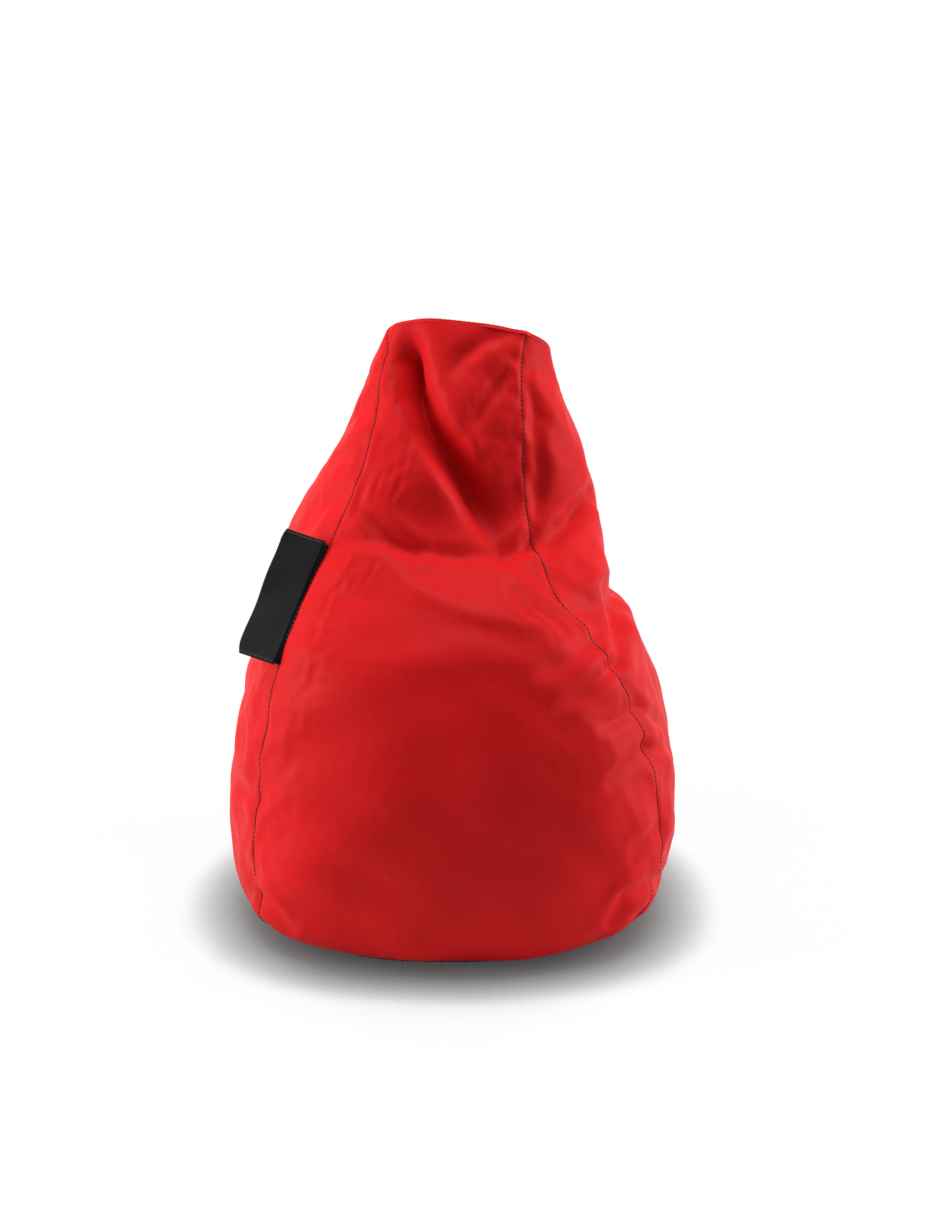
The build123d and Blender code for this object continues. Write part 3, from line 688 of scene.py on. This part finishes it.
def settleCover(wall, free):
    # the cover is cut a little large, so it buckles into wrinkles while pin weights hold it near
    # its shape
    mesh = newMesh("coverSkin", wall, gridFaces(*wall.shape[:2], True))
    skin = bpy.data.objects.new("coverSkin", mesh)
    scene.collection.objects.link(skin)
    hold = skin.vertex_groups.new(name="hold")
    take = skin.vertex_groups.new(name="take")
    seamNear = np.exp(-((seamDistances(wall) / clothRun["seamReach"]) ** 2)).ravel()
    topFree = smoothStep(np.arange(wall.shape[0])[::-1], 0, clothRun["topRows"])
    loose = (free * topFree[:, None]).ravel()
    taut = smoothStep(seamDistances(wall), clothRun["tautFrom"], clothRun["tautTo"]).ravel()
    least = clothRun["hold"] + (clothRun["tautHold"] - clothRun["hold"]) * taut
    grip = 1.0 + (least - 1.0) * loose
    for vertex in range(len(mesh.vertices)):
        hold.add([vertex], float(grip[vertex]), "REPLACE")
        take.add([vertex], float(seamNear[vertex]), "REPLACE")
    cloth = skin.modifiers.new("cloth", "CLOTH")
    values = cloth.settings
    values.quality = clothRun["quality"]
    values.mass = clothRun["mass"]
    values.air_damping = clothRun["airDamping"]
    values.tension_stiffness = clothRun["tension"]
    values.compression_stiffness = clothRun["tension"]
    values.shear_stiffness = clothRun["tension"] * clothRun["shear"]
    values.bending_stiffness = clothRun["bending"]
    values.vertex_group_mass = "hold"
    values.pin_stiffness = clothRun["pin"]
    values.vertex_group_shrink = "take"
    values.shrink_min = -clothRun["slack"]
    values.shrink_max = clothRun["seamTake"]
    values.effector_weights.gravity = clothRun["gravity"]
    cloth.collision_settings.use_collision = False
    cloth.collision_settings.use_self_collision = False
    cloth.point_cache.frame_start = 1
    cloth.point_cache.frame_end = clothRun["frames"]
    for step in range(1, clothRun["frames"] + 1):
        scene.frame_set(step)
    bpy.context.view_layer.objects.active = skin
    skin.select_set(True)
    bpy.ops.object.modifier_apply(modifier="cloth")
    scene.frame_set(1)
    settled = meshPoints(skin.data).reshape(wall.shape)
    bpy.data.objects.remove(skin)
    for _ in range(clothRun["smoothing"]):
        beside = (np.roll(settled, 1, axis=1) + np.roll(settled, -1, axis=1)) / 2
        settled[1:-1] = (settled[1:-1] + (settled[:-2] + settled[2:]) / 2 + beside[1:-1]) / 3
    return settled


settled = settleCover(wall, free)
moved = float(np.abs(settled - wall).max())
print("cover settled, moved at most", round(moved * 1000, 1), "mm")
wall = settled


# cover gores
gorePieces = {
    "frontPanel": ("front", "front_panel"),
    "rightSidePanel": ("right", "right_side_panel"),
    "backPanel": ("back", "back_panel"),
    "leftSidePanel": ("left", "left_side_panel"),
}
seamLook = {
    "edgeSteps": (0.16, 0.42),  # extra columns beside a seam, in columns
    "groove": 0.0012,
    "grooveReach": 0.0036,
    "gap": 0.0002,
    "turnIn": 0.0055,
    "edgeIn": 0.001,
    "zipOpening": 0.0068,
    "zipSpread": 3.0,
    "zipEnd": 0.006,  # how far short of the tapes' ends the opening stops
    "zipTaper": (-0.006, 0.008),
    "zipGap": 0.004,  # between the opening and the seam's stitches
    "zipStitch": 0.0032,
}
normals = gridNormals(wall)
zipWay = unit(zipEnds[1] - zipEnds[0])
zipMiddle = (zipEnds[0] + zipEnds[1]) / 2
zipAcross = nodePoints("zip_tape_side").mean(0) - nodePoints("zip_tape_back").mean(0)
zipAcross = unit(zipAcross - zipWay * (zipAcross @ zipWay))
zipReach = np.linalg.norm(zipEnds[1] - zipEnds[0]) / 2 - seamLook["zipEnd"]


def goreColumns(gore, field):
    # a gore's columns of a wall field, its last seam's column included
    first, count = goreStarts[gore], bagForm["columns"][gore]
    return field[:, [(first + k) % allColumns for k in range(count + 1)]]


def openForZip(gore, points):
    # the edges beside the zip stand back from its teeth
    if gore not in ("back", "left"):
        return points
    points = points.copy()
    side = 1 if gore == "left" else -1
    order = range(points.shape[1])[::side]
    edge = points[:, order[0]]
    along = np.abs((edge - zipMiddle) @ zipWay)
    opening = smoothStep(zipReach - along, *seamLook["zipTaper"])
    shift = (side * seamLook["zipOpening"] - (edge - zipMiddle) @ zipAcross) * opening
    for step, column in enumerate(order):
        points[:, column] += zipAcross * (shift * math.exp(-step / seamLook["zipSpread"]))[:, None]
    return points


def gorePoints(gore):
    # wall columns with close ones added at the seams, a groove, and the edges turned in
    points, out = openForZip(gore, goreColumns(gore, wall)), goreColumns(gore, normals)
    flat = flatPlaces[gore]
    count = points.shape[1] - 1
    places = sorted({0, count, *range(1, count), *seamLook["edgeSteps"],
                     *(count - s for s in seamLook["edgeSteps"])})
    low = np.minimum(np.floor(places).astype(int), count - 1)
    part = (np.array(places) - low)[None, :, None]
    spread = points[:, low] * (1 - part) + points[:, low + 1] * part
    outward = out[:, low] * (1 - part) + out[:, low + 1] * part
    flatSpread = flat[:, low] * (1 - part) + flat[:, low + 1] * part
    halfWide = flat[:, -1:, 0]
    edgeGap = halfWide - np.abs(flatSpread[..., 0])
    dip = seamLook["groove"] * np.exp(-((edgeGap / seamLook["grooveReach"]) ** 2))
    spread = spread - outward * dip[..., None]
    turned = []
    for edge, inner in ((0, 1), (-1, -2)):
        away = unit(spread[:, inner] - spread[:, edge])
        spread[:, edge] += away * seamLook["gap"]
        turned.append(spread[:, edge] - outward[:, edge] * seamLook["turnIn"]
                      + away * seamLook["edgeIn"])
    spread = np.concatenate([turned[0][:, None], spread, turned[1][:, None]], axis=1)
    step = np.array([seamLook["turnIn"], 0])
    flatEdges = flatSpread[:, :1] - step, flatSpread[:, -1:] + step
    return spread, np.concatenate([flatEdges[0], flatSpread, flatEdges[1]], axis=1)


def gridPiece(name, points, flat, material, levels=1):
    # a grid of points as a smooth sheet with its flat places as UV
    mesh = newMesh(name, points, gridFaces(*points.shape[:2], False), flat)
    return meshPiece(name, mesh, material, levels)


def meshPiece(name, mesh, material, levels=0):
    piece = bpy.data.objects.new(name, mesh)
    scene.collection.objects.link(piece)
    mesh.materials.append(material)
    mesh.polygons.foreach_set("use_smooth", np.ones(len(mesh.polygons), bool))
    if levels:
        finer = piece.modifiers.new("finer", "SUBSURF")
        finer.levels = levels
        finer.render_levels = levels
        applyModifier(piece, "finer")
    return piece


def applyModifier(piece, name):
    bpy.ops.object.select_all(action="DESELECT")
    piece.select_set(True)
    bpy.context.view_layer.objects.active = piece
    bpy.ops.object.modifier_apply(modifier=name)


def sewIn(piece, node):
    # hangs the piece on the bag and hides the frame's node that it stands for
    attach(piece, "bag")
    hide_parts(node)


for pieceName, (gore, node) in gorePieces.items():
    points, flat = gorePoints(gore)
    panel = gridPiece(pieceName, points, flat, redSatin)
    sewIn(panel, node)
print("gores sewn")


# cap and base
discs = {
    "rings": 12,
    "capCrown": 0.006,
    "capInset": 0.004,  # how much smaller the cap is than the gores' top row, in shares
    "capSag": 0.004,
    "sagPerMetre": 14.0,
    "sagSeed": 77,
    "turnIn": 0.005,
    "floorScale": (0.997, 0.997, 0.3),
    "lowBelow": 0.1,  # an edge under this height is the base's
}
floorWay = np.array([0, 0, 1.0])


def discPiece(name, edge, rings, middle, material, turnIn):
    # a disc from its edge row inwards, its edge turned in under the gores
    rows = np.concatenate([(edge + turnIn)[None], edge[None], rings])
    columns = edge.shape[0]
    points = np.concatenate([rows.reshape(-1, 3), middle[None]])
    faces = gridFaces(len(rows), columns, True)
    last = (len(rows) - 1) * columns
    for column in range(columns):
        faces.append((last + column, last + (column + 1) % columns, len(points) - 1))
    across = unit(edge[columns // 4] - middle)
    up = np.cross(topWay(wall) if edge[:, 2].mean() > discs["lowBelow"] else floorWay, across)
    flat = np.stack([(points - middle) @ across, (points - middle) @ up], axis=-1)
    return meshPiece(name, newMesh(name, points, faces, flat), material), flat


capEdge = wall[-1] - (wall[-1] - wall[-1].mean(0)) * discs["capInset"]
capRings, capMiddle = discRings(capEdge, discs["rings"], discs["capCrown"], topWay(wall))
capSag = discs["capSag"] * waveNoise(capRings, discs["sagPerMetre"], discs["sagSeed"])
capSag = capSag * np.linspace(0, 1, len(capRings))[:, None]
capRings = capRings + topWay(wall) * capSag[..., None]
capTurn = -topWay(wall) * discs["turnIn"]
topCap, flat = discPiece("topCap", capEdge, capRings, capMiddle, redSatin, capTurn)
sewIn(topCap, "top_cap")

floorEdge = wall[0] * np.array(discs["floorScale"])
baseRings, baseMiddle = discRings(floorEdge, discs["rings"], 0.0, floorWay)
baseTurn = floorWay * discs["turnIn"]
basePanel, flat = discPiece("basePanel", floorEdge, baseRings, baseMiddle, redSatin, baseTurn)
basePanel.data.flip_normals()
sewIn(basePanel, "base_panel")
print("cap and base sewn")


# stitches
stitchLook = {
    "pitch": 0.0070,
    "length": 0.0042,
    "radius": 0.0010,
    "sink": 0.0008,
    "slant": 0.3,
    "sides": 6,
    "stations": [(-0.5, 0.35), (-0.38, 1.0), (0.0, 1.0), (0.38, 1.0), (0.5, 0.35)],
    "endDrop": 1.3,  # how far its ends dip into the cloth, in radii
    "tilt": 0.1,  # this and the next two: how much stitches differ from each other
    "lift": 0.0001,
    "stray": 0.0002,
    "capEdge": 0.035,  # how far inside the cap's edge its row runs, in shares
}


def tubeFaces(rings, sides):
    faces = gridFaces(rings, sides, True)
    faces.append(tuple(range(sides - 1, -1, -1)))
    faces.append(tuple((rings - 1) * sides + k for k in range(sides)))
    return faces


def stitchShape():
    # one short thread, thin at both ends where it goes into the cloth
    points = []
    radius, sides = stitchLook["radius"], stitchLook["sides"]
    for station, share in stitchLook["stations"]:
        size = radius * share
        drop = -radius * stitchLook["endDrop"] * (abs(station) * 2) ** 3
        for k in range(sides):
            turn = math.tau * k / sides
            points.append((station * stitchLook["length"], math.cos(turn) * size,
                           math.sin(turn) * size + drop))
    return np.array(points), tubeFaces(len(stitchLook["stations"]), sides)


def between(marks, reach, values):
    # values of a line, at marks along it
    return np.stack([np.interp(marks, reach, values[:, k]) for k in range(3)], axis=-1)


def evenAlong(line, outs, pitch):
    # places at an even pitch along a line, with the way along and the way out
    reach = running(np.linalg.norm(np.diff(line, axis=0), axis=1))
    marks = np.arange(pitch / 2, reach[-1], pitch)
    places, out = between(marks, reach, line), between(marks, reach, outs)
    along = unit(np.gradient(places, axis=0))
    return places, along, unit(out - along * (out * along).sum(1, keepdims=True))


def stitchRow(name, lines, material, node, body="bag", pitch=None, slant=None):
    # a row of stitches along one or more lines
    pitch = pitch or stitchLook["pitch"]
    slant = stitchLook["slant"] if slant is None else slant
    shape, shapeFaces = stitchShape()
    draw = random.Random(name)
    points, faces = [], []
    for line, outs in lines:
        for place, along, out in zip(*evenAlong(line, outs, pitch)):
            across = np.cross(out, along)
            tilt = slant + draw.uniform(-stitchLook["tilt"], stitchLook["tilt"])
            way = along * math.cos(tilt) + across * math.sin(tilt)
            side = np.cross(out, way)
            lift = draw.uniform(-stitchLook["lift"], stitchLook["lift"])
            spot = place + out * (stitchLook["sink"] + lift)
            spot = spot + across * draw.uniform(-stitchLook["stray"], stitchLook["stray"])
            first = len(points)
            points.extend(spot + shape[:, :1] * way + shape[:, 1:2] * side + shape[:, 2:] * out)
            faces.extend(tuple(first + k for k in face) for face in shapeFaces)
    piece = meshPiece(name, newMesh(name, np.array(points), faces), material)
    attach(piece, body)
    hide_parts(*node)


def seamLine(column):
    line = wall[:, column] - normals[:, column] * seamLook["groove"]
    return line, normals[:, column]


seamColumns = {
    "stitchesFrontLeft": (goreStarts["front"], "seam_thread_front_left"),
    "stitchesFrontRight": (goreStarts["right"], "seam_thread_front_right"),
    "stitchesBackRight": (goreStarts["back"], "seam_thread_back_right"),
    "stitchesBackLeft": (goreStarts["left"], "seam_thread_back_left"),
}
for rowName, (column, node) in seamColumns.items():
    line, outs = seamLine(column)
    lines = [(line, outs)]
    if rowName == "stitchesBackLeft":
        along = (line - zipMiddle) @ zipWay
        clear = zipReach + seamLook["zipGap"]
        lines = [(line[part], outs[part]) for part in (along < -clear, along > clear)]
    stitchRow(rowName, lines, redThread, [node])

closed = np.concatenate([capEdge, capEdge[:1]])
closed = closed + (capMiddle - closed) * stitchLook["capEdge"]
capOut = np.tile(topWay(wall), (len(closed), 1))
stitchRow("stitchesCap", [(closed, capOut)], redThread, ["seam_thread_cap"])
closed = np.concatenate([wall[0], wall[0][:1]])
baseOut = np.concatenate([normals[0], normals[0][:1]])
stitchRow("stitchesBase", [(closed, baseOut)], redThread, ["seam_thread_base"])


def zipStitchLine(gore):
    # a line on the cover beside the zip, found on the gore's own columns
    points, out = openForZip(gore, goreColumns(gore, wall)), goreColumns(gore, normals)
    order = (0, 1) if gore == "left" else (-1, -2)
    near, far = points[:, order[0]], points[:, order[1]]
    rows = np.abs((near - zipMiddle) @ zipWay) < zipReach
    line = near + unit(far - near) * seamLook["zipStitch"]
    return line[rows], out[:, order[0]][rows]


stitchRow("zipStitchesSide", [zipStitchLine("left")], redThread, ["zip_thread_side"])
stitchRow("zipStitchesBack", [zipStitchLine("back")], redThread, ["zip_thread_back"])
print("stitches set")


# liner and filling, inside the cover
inside = {
    "linerInset": 0.014,
    "fillInset": 0.021,
    "skipRows": 2,
    "skipColumns": 2,
    "liftBelow": 0.04,  # height under which the bottom is lifted off the base
    "topDrop": (0.3, 0.6, 1.0),  # how far the last rows sink under the cap, in insets
    "cutRow": 30,  # the liner's two side seams run where this row is widest
    "discRings": 8,
    "discCrown": 0.002,
}


def insetWall(inset):
    points = wall - normals * inset
    low = inside["liftBelow"]
    lift = smoothStep(low - wall[..., 2], 0, low) * inset
    points[..., 2] = np.maximum(points[..., 2] + lift, inset)
    points[-3:] -= topWay(wall) * np.array(inside["topDrop"])[:, None, None] * inset
    last = wall.shape[0] - 1
    rows = sorted({*range(0, last + 1, inside["skipRows"]), last})
    return points[rows][:, ::inside["skipColumns"]]


linerWall = insetWall(inside["linerInset"])
half = linerWall.shape[1]
leftCut = int(np.argmin(linerWall[inside["cutRow"], :, 0]))
rightCut = int(np.argmax(linerWall[inside["cutRow"], :, 0]))
linerSides = {
    "linerFront": (leftCut, rightCut, "liner_front"),
    "linerBack": (rightCut, leftCut, "liner_back"),
}
for linerName, (start, end, node) in linerSides.items():
    count = (end - start) % half
    points = linerWall[:, [(start + k) % half for k in range(count + 1)]]
    across = running(np.linalg.norm(np.diff(points, axis=1), axis=-1))
    across -= across[:, -1:] / 2
    up = running(np.linalg.norm(np.diff(points, axis=0), axis=-1).mean(1))
    flat = np.stack([across, np.broadcast_to(up[:, None], across.shape)], axis=-1)
    piece = gridPiece(linerName, points, flat, linerCotton, 0)
    sewIn(piece, node)
linerDiscs = {
    "linerCap": (linerWall[-1], topWay(wall), 1, "liner_cap"),
    "linerBase": (linerWall[0], np.zeros(3), -1, "liner_base"),
}
for discName, (edge, way, facing, node) in linerDiscs.items():
    rings, middle = discRings(edge, inside["discRings"], inside["discCrown"], way)
    turnIn = -floorWay * facing * inside["discCrown"]
    piece, flat = discPiece(discName, edge, rings, middle, linerCotton, turnIn)
    if facing < 0:
        piece.data.flip_normals()
    sewIn(piece, node)


def fillPiece():
    points = insetWall(inside["fillInset"])
    rows, columns = points.shape[:2]
    lowMiddle, highMiddle = points[0].mean(0), points[-1].mean(0)
    vertices = np.concatenate([points.reshape(-1, 3), [lowMiddle, highMiddle]])
    faces = gridFaces(rows, columns, True)
    top = (rows - 1) * columns
    for column in range(columns):
        right = (column + 1) % columns
        faces.append((rows * columns, right, column))
        faces.append((rows * columns + 1, top + column, top + right))
    piece = meshPiece("fill", newMesh("fill", vertices, faces), looseBeads)
    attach(piece, "bag")
    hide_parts("bead_fill")


fillPiece()
print("liner and filling in")


# side tag, a woven strip folded in two
tagLook = {
    "ply": 0.0009,
    "gap": 0.0004,
    "lengthSteps": 56,
    "widthSteps": 22,
    "foldSteps": 6,
    "ripple": 0.0034,
    "rippleWave": (5.2, 0.6),  # turn over the length, and where it starts
    "rippleRoot": 0.25,  # share of the ripple that the seam lets through
    "rootFade": 8,
    "creases": (0.5, 13, 3),  # share of the ripple, turns over the length and the width
    "curl": 0.010,
    "curlTurn": (0.35, 0.9),
    "edgeWave": 0.05,  # how far the fold strays from straight, in widths
    "edgeTurn": (6.0, 0.4),
    "corner": 0.10,  # how much the two outer corners are rounded off, in lengths
    "cornerCut": 0.07,
    "hem": 0.004,
    "hemPitch": 0.004,
    "hemReach": (0.05, 0.96),
    "hemSteps": 24,
    "start": 0.012,  # where the two plies leave the bend, in widths
    "rootTip": 0.00035,
    "rootThick": 0.6,  # half the root's thickness, in plies
    "rootLength": 0.97,
    "rootSteps": 48,
    "rootDepth": 0.004,
    "rootStep": 0.002,
    "outerFrom": 0.6,  # the solid's points past this share of its width give its way
}
tagPoints = nodePoints("side_tag") - tagPivot
tagPoints = tagPoints - np.outer(tagPoints @ tagAxis, tagAxis)
tagWidth = float(np.linalg.norm(tagPoints, axis=1).max())
outer = np.linalg.norm(tagPoints, axis=1) > tagLook["outerFrom"] * tagWidth
tagFlat = unit(tagPoints[outer].mean(0))
tagFace = np.cross(tagFlat, tagAxis)
tagLength = float(tagReach.max() - tagReach.min())


def tagShape(along, across, lift):
    # a place on the tag: shares of its length and width, and the height over its middle
    ripple, root = tagLook["ripple"], tagLook["rippleRoot"]
    rate, begin = tagLook["rippleWave"]
    inward = root * min(1.0, across * tagLook["rootFade"]) + (1 - root) * across
    bend = ripple * math.sin(along * rate + begin) * inward
    turn, most = tagLook["curlTurn"]
    bend += tagLook["curl"] * (across**2) * (turn - along) * most
    share, long, wide = tagLook["creases"]
    bend += ripple * share * math.sin(along * long + across * wide) * across
    rate, begin = tagLook["edgeTurn"]
    wave = 1 - tagLook["edgeWave"] * (0.5 - 0.5 * math.sin(along * rate + begin)) * across
    end = min(along, 1 - along) / tagLook["corner"]
    wave -= tagLook["cornerCut"] * max(0.0, 1 - end) ** 2 * across
    width = tagWidth * across * wave
    place = tagPivot + tagAxis * (along - 0.5) * tagLength
    return place + tagFlat * width + tagFace * (bend + lift)


def tagPiece():
    # a U of one ply: out on the front, round the fold, back behind
    half = (tagLook["ply"] + tagLook["gap"]) / 2
    fold = 1 - half / tagWidth
    start, steps = tagLook["start"], tagLook["widthSteps"]
    straight = [start + (fold - start) * k / steps for k in range(steps + 1)]
    profile = [(across, half) for across in straight]
    for k in range(1, tagLook["foldSteps"]):
        turn = math.pi / 2 - math.pi * k / tagLook["foldSteps"]
        profile.append((fold + math.cos(turn) * half / tagWidth, math.sin(turn) * half))
    profile += [(across, -half) for across in straight[::-1]]
    rows, columns = tagLook["lengthSteps"] + 1, len(profile)
    points = np.zeros((rows, columns, 3))
    flat = np.zeros((rows, columns, 2))
    for row in range(rows):
        along = row / tagLook["lengthSteps"]
        for column, (across, lift) in enumerate(profile):
            points[row, column] = tagShape(along, across, lift)
            flat[row, column] = (column / (columns - 1) * 2 * tagWidth, along * tagLength)
    piece = gridPiece("sideTag", points[:, ::-1], flat[:, ::-1], blackLabel, 0)
    thick = piece.modifiers.new("ply", "SOLIDIFY")
    thick.thickness = tagLook["ply"]
    thick.offset = 0.0
    applyModifier(piece, "ply")
    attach(piece, "tag")
    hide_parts("side_tag")


tagPiece()


def tagRoot():
    # the tag's raw edges, from its bend down into the seam
    line, outs = seamLine(goreStarts["front"])
    reach = (line - tagPivot) @ tagAxis
    end = tagLength / 2 * tagLook["rootLength"]
    marks = np.linspace(-end, end, tagLook["rootSteps"])
    seam, out = between(marks, reach, line), between(marks, reach, outs)
    top = tagPivot + marks[:, None] * tagAxis
    rows = []
    for place, outward, edge in zip(seam, out, top):
        side = unit(np.cross(outward, tagAxis))
        thick, tip = tagLook["ply"] * tagLook["rootThick"], tagLook["rootTip"]
        low = place - outward * tagLook["rootDepth"]
        rows.append([edge + side * tip, place + side * thick, low + side * thick,
                     low - side * thick, place - side * thick, edge - side * tip])
    points = np.array(rows)
    count = points.shape[1]
    flat = np.stack([np.tile(np.arange(count) * tagLook["rootStep"], len(points)),
                     np.repeat(marks, count)], axis=-1)
    mesh = newMesh("tagRoot", points, tubeFaces(len(points), count), flat)
    piece = meshPiece("tagRoot", mesh, blackLabel)
    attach(piece, "bag")
    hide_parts("tag_root")


tagRoot()


def tagStitches():
    # hem stitches along both short ends of the tag, on its two faces
    half = tagLook["ply"] + tagLook["gap"] / 2 - stitchLook["sink"] / 2
    places = np.linspace(*tagLook["hemReach"], tagLook["hemSteps"])
    lines = []
    for along in (tagLook["hem"] / tagLength, 1 - tagLook["hem"] / tagLength):
        for face in (1, -1):
            line = np.array([tagShape(along, across, face * half) for across in places])
            lines.append((line, np.tile(tagFace * face, (len(places), 1))))
    stitchRow("tagStitches", lines, blackThread, ["side_tag"], "tag",
              tagLook["hemPitch"], 0.0)


tagStitches()
print("tag sewn in")


# zip nodes keep their solids and get their finishes
for nodeName, material in {
    "zip_tape_back": zipTapeCloth, "zip_tape_side": zipTapeCloth,
    "zip_teeth_back": zipPlastic, "zip_teeth_side": zipPlastic,
    "zip_bottom_stop": zipPlastic, "zip_top_stops": zipPlastic,
    "zip_slider": zipLacquer, "zip_pull_pin": zipLacquer, "zip_pull_tab": zipLacquer,
}.items():
    mesh = frame["nodes"][nodeName].data
    mesh.materials.clear()
    mesh.materials.append(material)
print("zip finished")


# floor, light and background
stageLook = {
    "floorSize": 9.0,
    "floorColour": (0.86, 0.86, 0.86),
    "floorRoughness": 0.9,
    # painted shadows: each one darkens the floor's white glow close under the bag
    "paintedShadows": [  # way that the floor looks, how far, and its tone from hidden to open
        {"way": (0.0, 0.0, 1.0), "reach": 0.13,
         "ramp": [(0.10, 0.10), (0.42, 0.20), (0.70, 0.56), (0.90, 1.0)]},
        {"way": (0.0, 1.0, 0.2), "reach": 0.8,
         "ramp": [(0.05, 0.13), (0.19, 0.29), (0.38, 0.61), (0.58, 1.0)]},
    ],
    # share of the floor near the bag that shows the white glow with its painted shadow; the rest
    # is the lit floor
    "paintedShadowShare": 0.94,
    "whiteFrom": 0.6,
    "whiteTo": 1.1,
    "ambient": 0.07,
    "lamps": {  # place, watts, size
        "leftKey": ((-2.4, -0.5, 1.15), 60.0, (1.0, 1.5)),
        "rightRim": ((2.4, 0.1, 1.2), 48.0, (0.9, 1.5)),
        "topSoft": ((0.1, -0.2, 2.7), 40.0, (1.2, 1.2)),
    },
    "lampAim": (0, 0, 0.42),
}


def seenRays(nodes, links):
    # 1 for the rays that show the stage, 0 for those that light it
    path = nodes.new("ShaderNodeLightPath").outputs
    seen = mathNode(nodes, links, "MAXIMUM", path["Is Camera Ray"], path["Is Glossy Ray"])
    return mathNode(nodes, links, "MAXIMUM", seen, path["Is Transmission Ray"])


def makeFloor():
    bpy.ops.object.select_all(action="DESELECT")
    bpy.ops.mesh.primitive_plane_add(size=stageLook["floorSize"], location=(0, 0, 0))
    floor = bpy.context.object
    floor.name = "studioFloor"
    material, nodes, links, shader = newMaterial("paleFloor")
    shader.inputs["Base Color"].default_value = (*stageLook["floorColour"], 1)
    shader.inputs["Roughness"].default_value = stageLook["floorRoughness"]
    shader.inputs["Specular IOR Level"].default_value = 0.0
    # painted shadow: the floor's white glow darkens close under the bag, by how hidden each place
    # is
    tones = []
    for shadow in stageLook["paintedShadows"]:
        hollow = addNode(nodes, "ShaderNodeAmbientOcclusion", samples=16, Distance=shadow["reach"])
        way = addNode(nodes, "ShaderNodeCombineXYZ", **dict(zip("XYZ", shadow["way"])))
        links.new(way.outputs["Vector"], hollow.inputs["Normal"])
        tone = nodes.new("ShaderNodeValToRGB")
        ramp = tone.color_ramp.elements
        while len(ramp) < len(shadow["ramp"]):
            ramp.new(0.5)
        for element, (position, level) in zip(ramp, shadow["ramp"]):
            element.position = position
            element.color = (level, level, level, 1)
        links.new(hollow.outputs["AO"], tone.inputs["Fac"])
        tones.append(tone.outputs["Color"])
    # white glow, darkened under the bag by the painted shadow tones
    whiteAndPaintedShadow = addNode(nodes, "ShaderNodeEmission", Strength=1.0)
    links.new(mathNode(nodes, links, "MULTIPLY", *tones), whiteAndPaintedShadow.inputs["Color"])
    coords = nodes.new("ShaderNodeTexCoord")
    length = addNode(nodes, "ShaderNodeVectorMath", operation="LENGTH")
    links.new(coords.outputs["Object"], length.inputs[0])
    fade = nodes.new("ShaderNodeMapRange")
    fade.interpolation_type = "SMOOTHSTEP"
    fade.inputs["From Min"].default_value = stageLook["whiteFrom"]
    fade.inputs["From Max"].default_value = stageLook["whiteTo"]
    fade.inputs["To Min"].default_value = stageLook["paintedShadowShare"]
    links.new(length.outputs["Value"], fade.inputs["Value"])
    share = mathNode(nodes, links, "MULTIPLY", fade.outputs["Result"], seenRays(nodes, links))
    mix = nodes.new("ShaderNodeMixShader")
    links.new(share, mix.inputs[0])
    links.new(shader.outputs[0], mix.inputs[1])
    links.new(whiteAndPaintedShadow.outputs[0], mix.inputs[2])
    links.new(mix.outputs[0], nodes["Material Output"].inputs["Surface"])
    floor.data.materials.append(material)


def makeWorld():
    world = bpy.data.worlds.new("studio")
    scene.world = world
    world.use_nodes = True
    nodes, links = world.node_tree.nodes, world.node_tree.links
    background = nodes["Background"]
    background.inputs["Color"].default_value = (1, 1, 1, 1)
    level = nodes.new("ShaderNodeMapRange")
    level.inputs["To Min"].default_value = stageLook["ambient"]
    level.inputs["To Max"].default_value = 1.0
    links.new(seenRays(nodes, links), level.inputs["Value"])
    links.new(level.outputs["Result"], background.inputs["Strength"])


def makeLights():
    aim = Vector(stageLook["lampAim"])
    for name, (place, watts, size) in stageLook["lamps"].items():
        data = bpy.data.lights.new(name, "AREA")
        data.shape = "RECTANGLE"
        data.size, data.size_y = size
        data.energy = watts
        lamp = bpy.data.objects.new(name, data)
        scene.collection.objects.link(lamp)
        lamp.location = place
        lamp.rotation_euler = (aim - Vector(place)).to_track_quat("-Z", "Y").to_euler()


makeFloor()
makeWorld()
makeLights()
scene.view_settings.view_transform = "Standard"
print("stage lit")
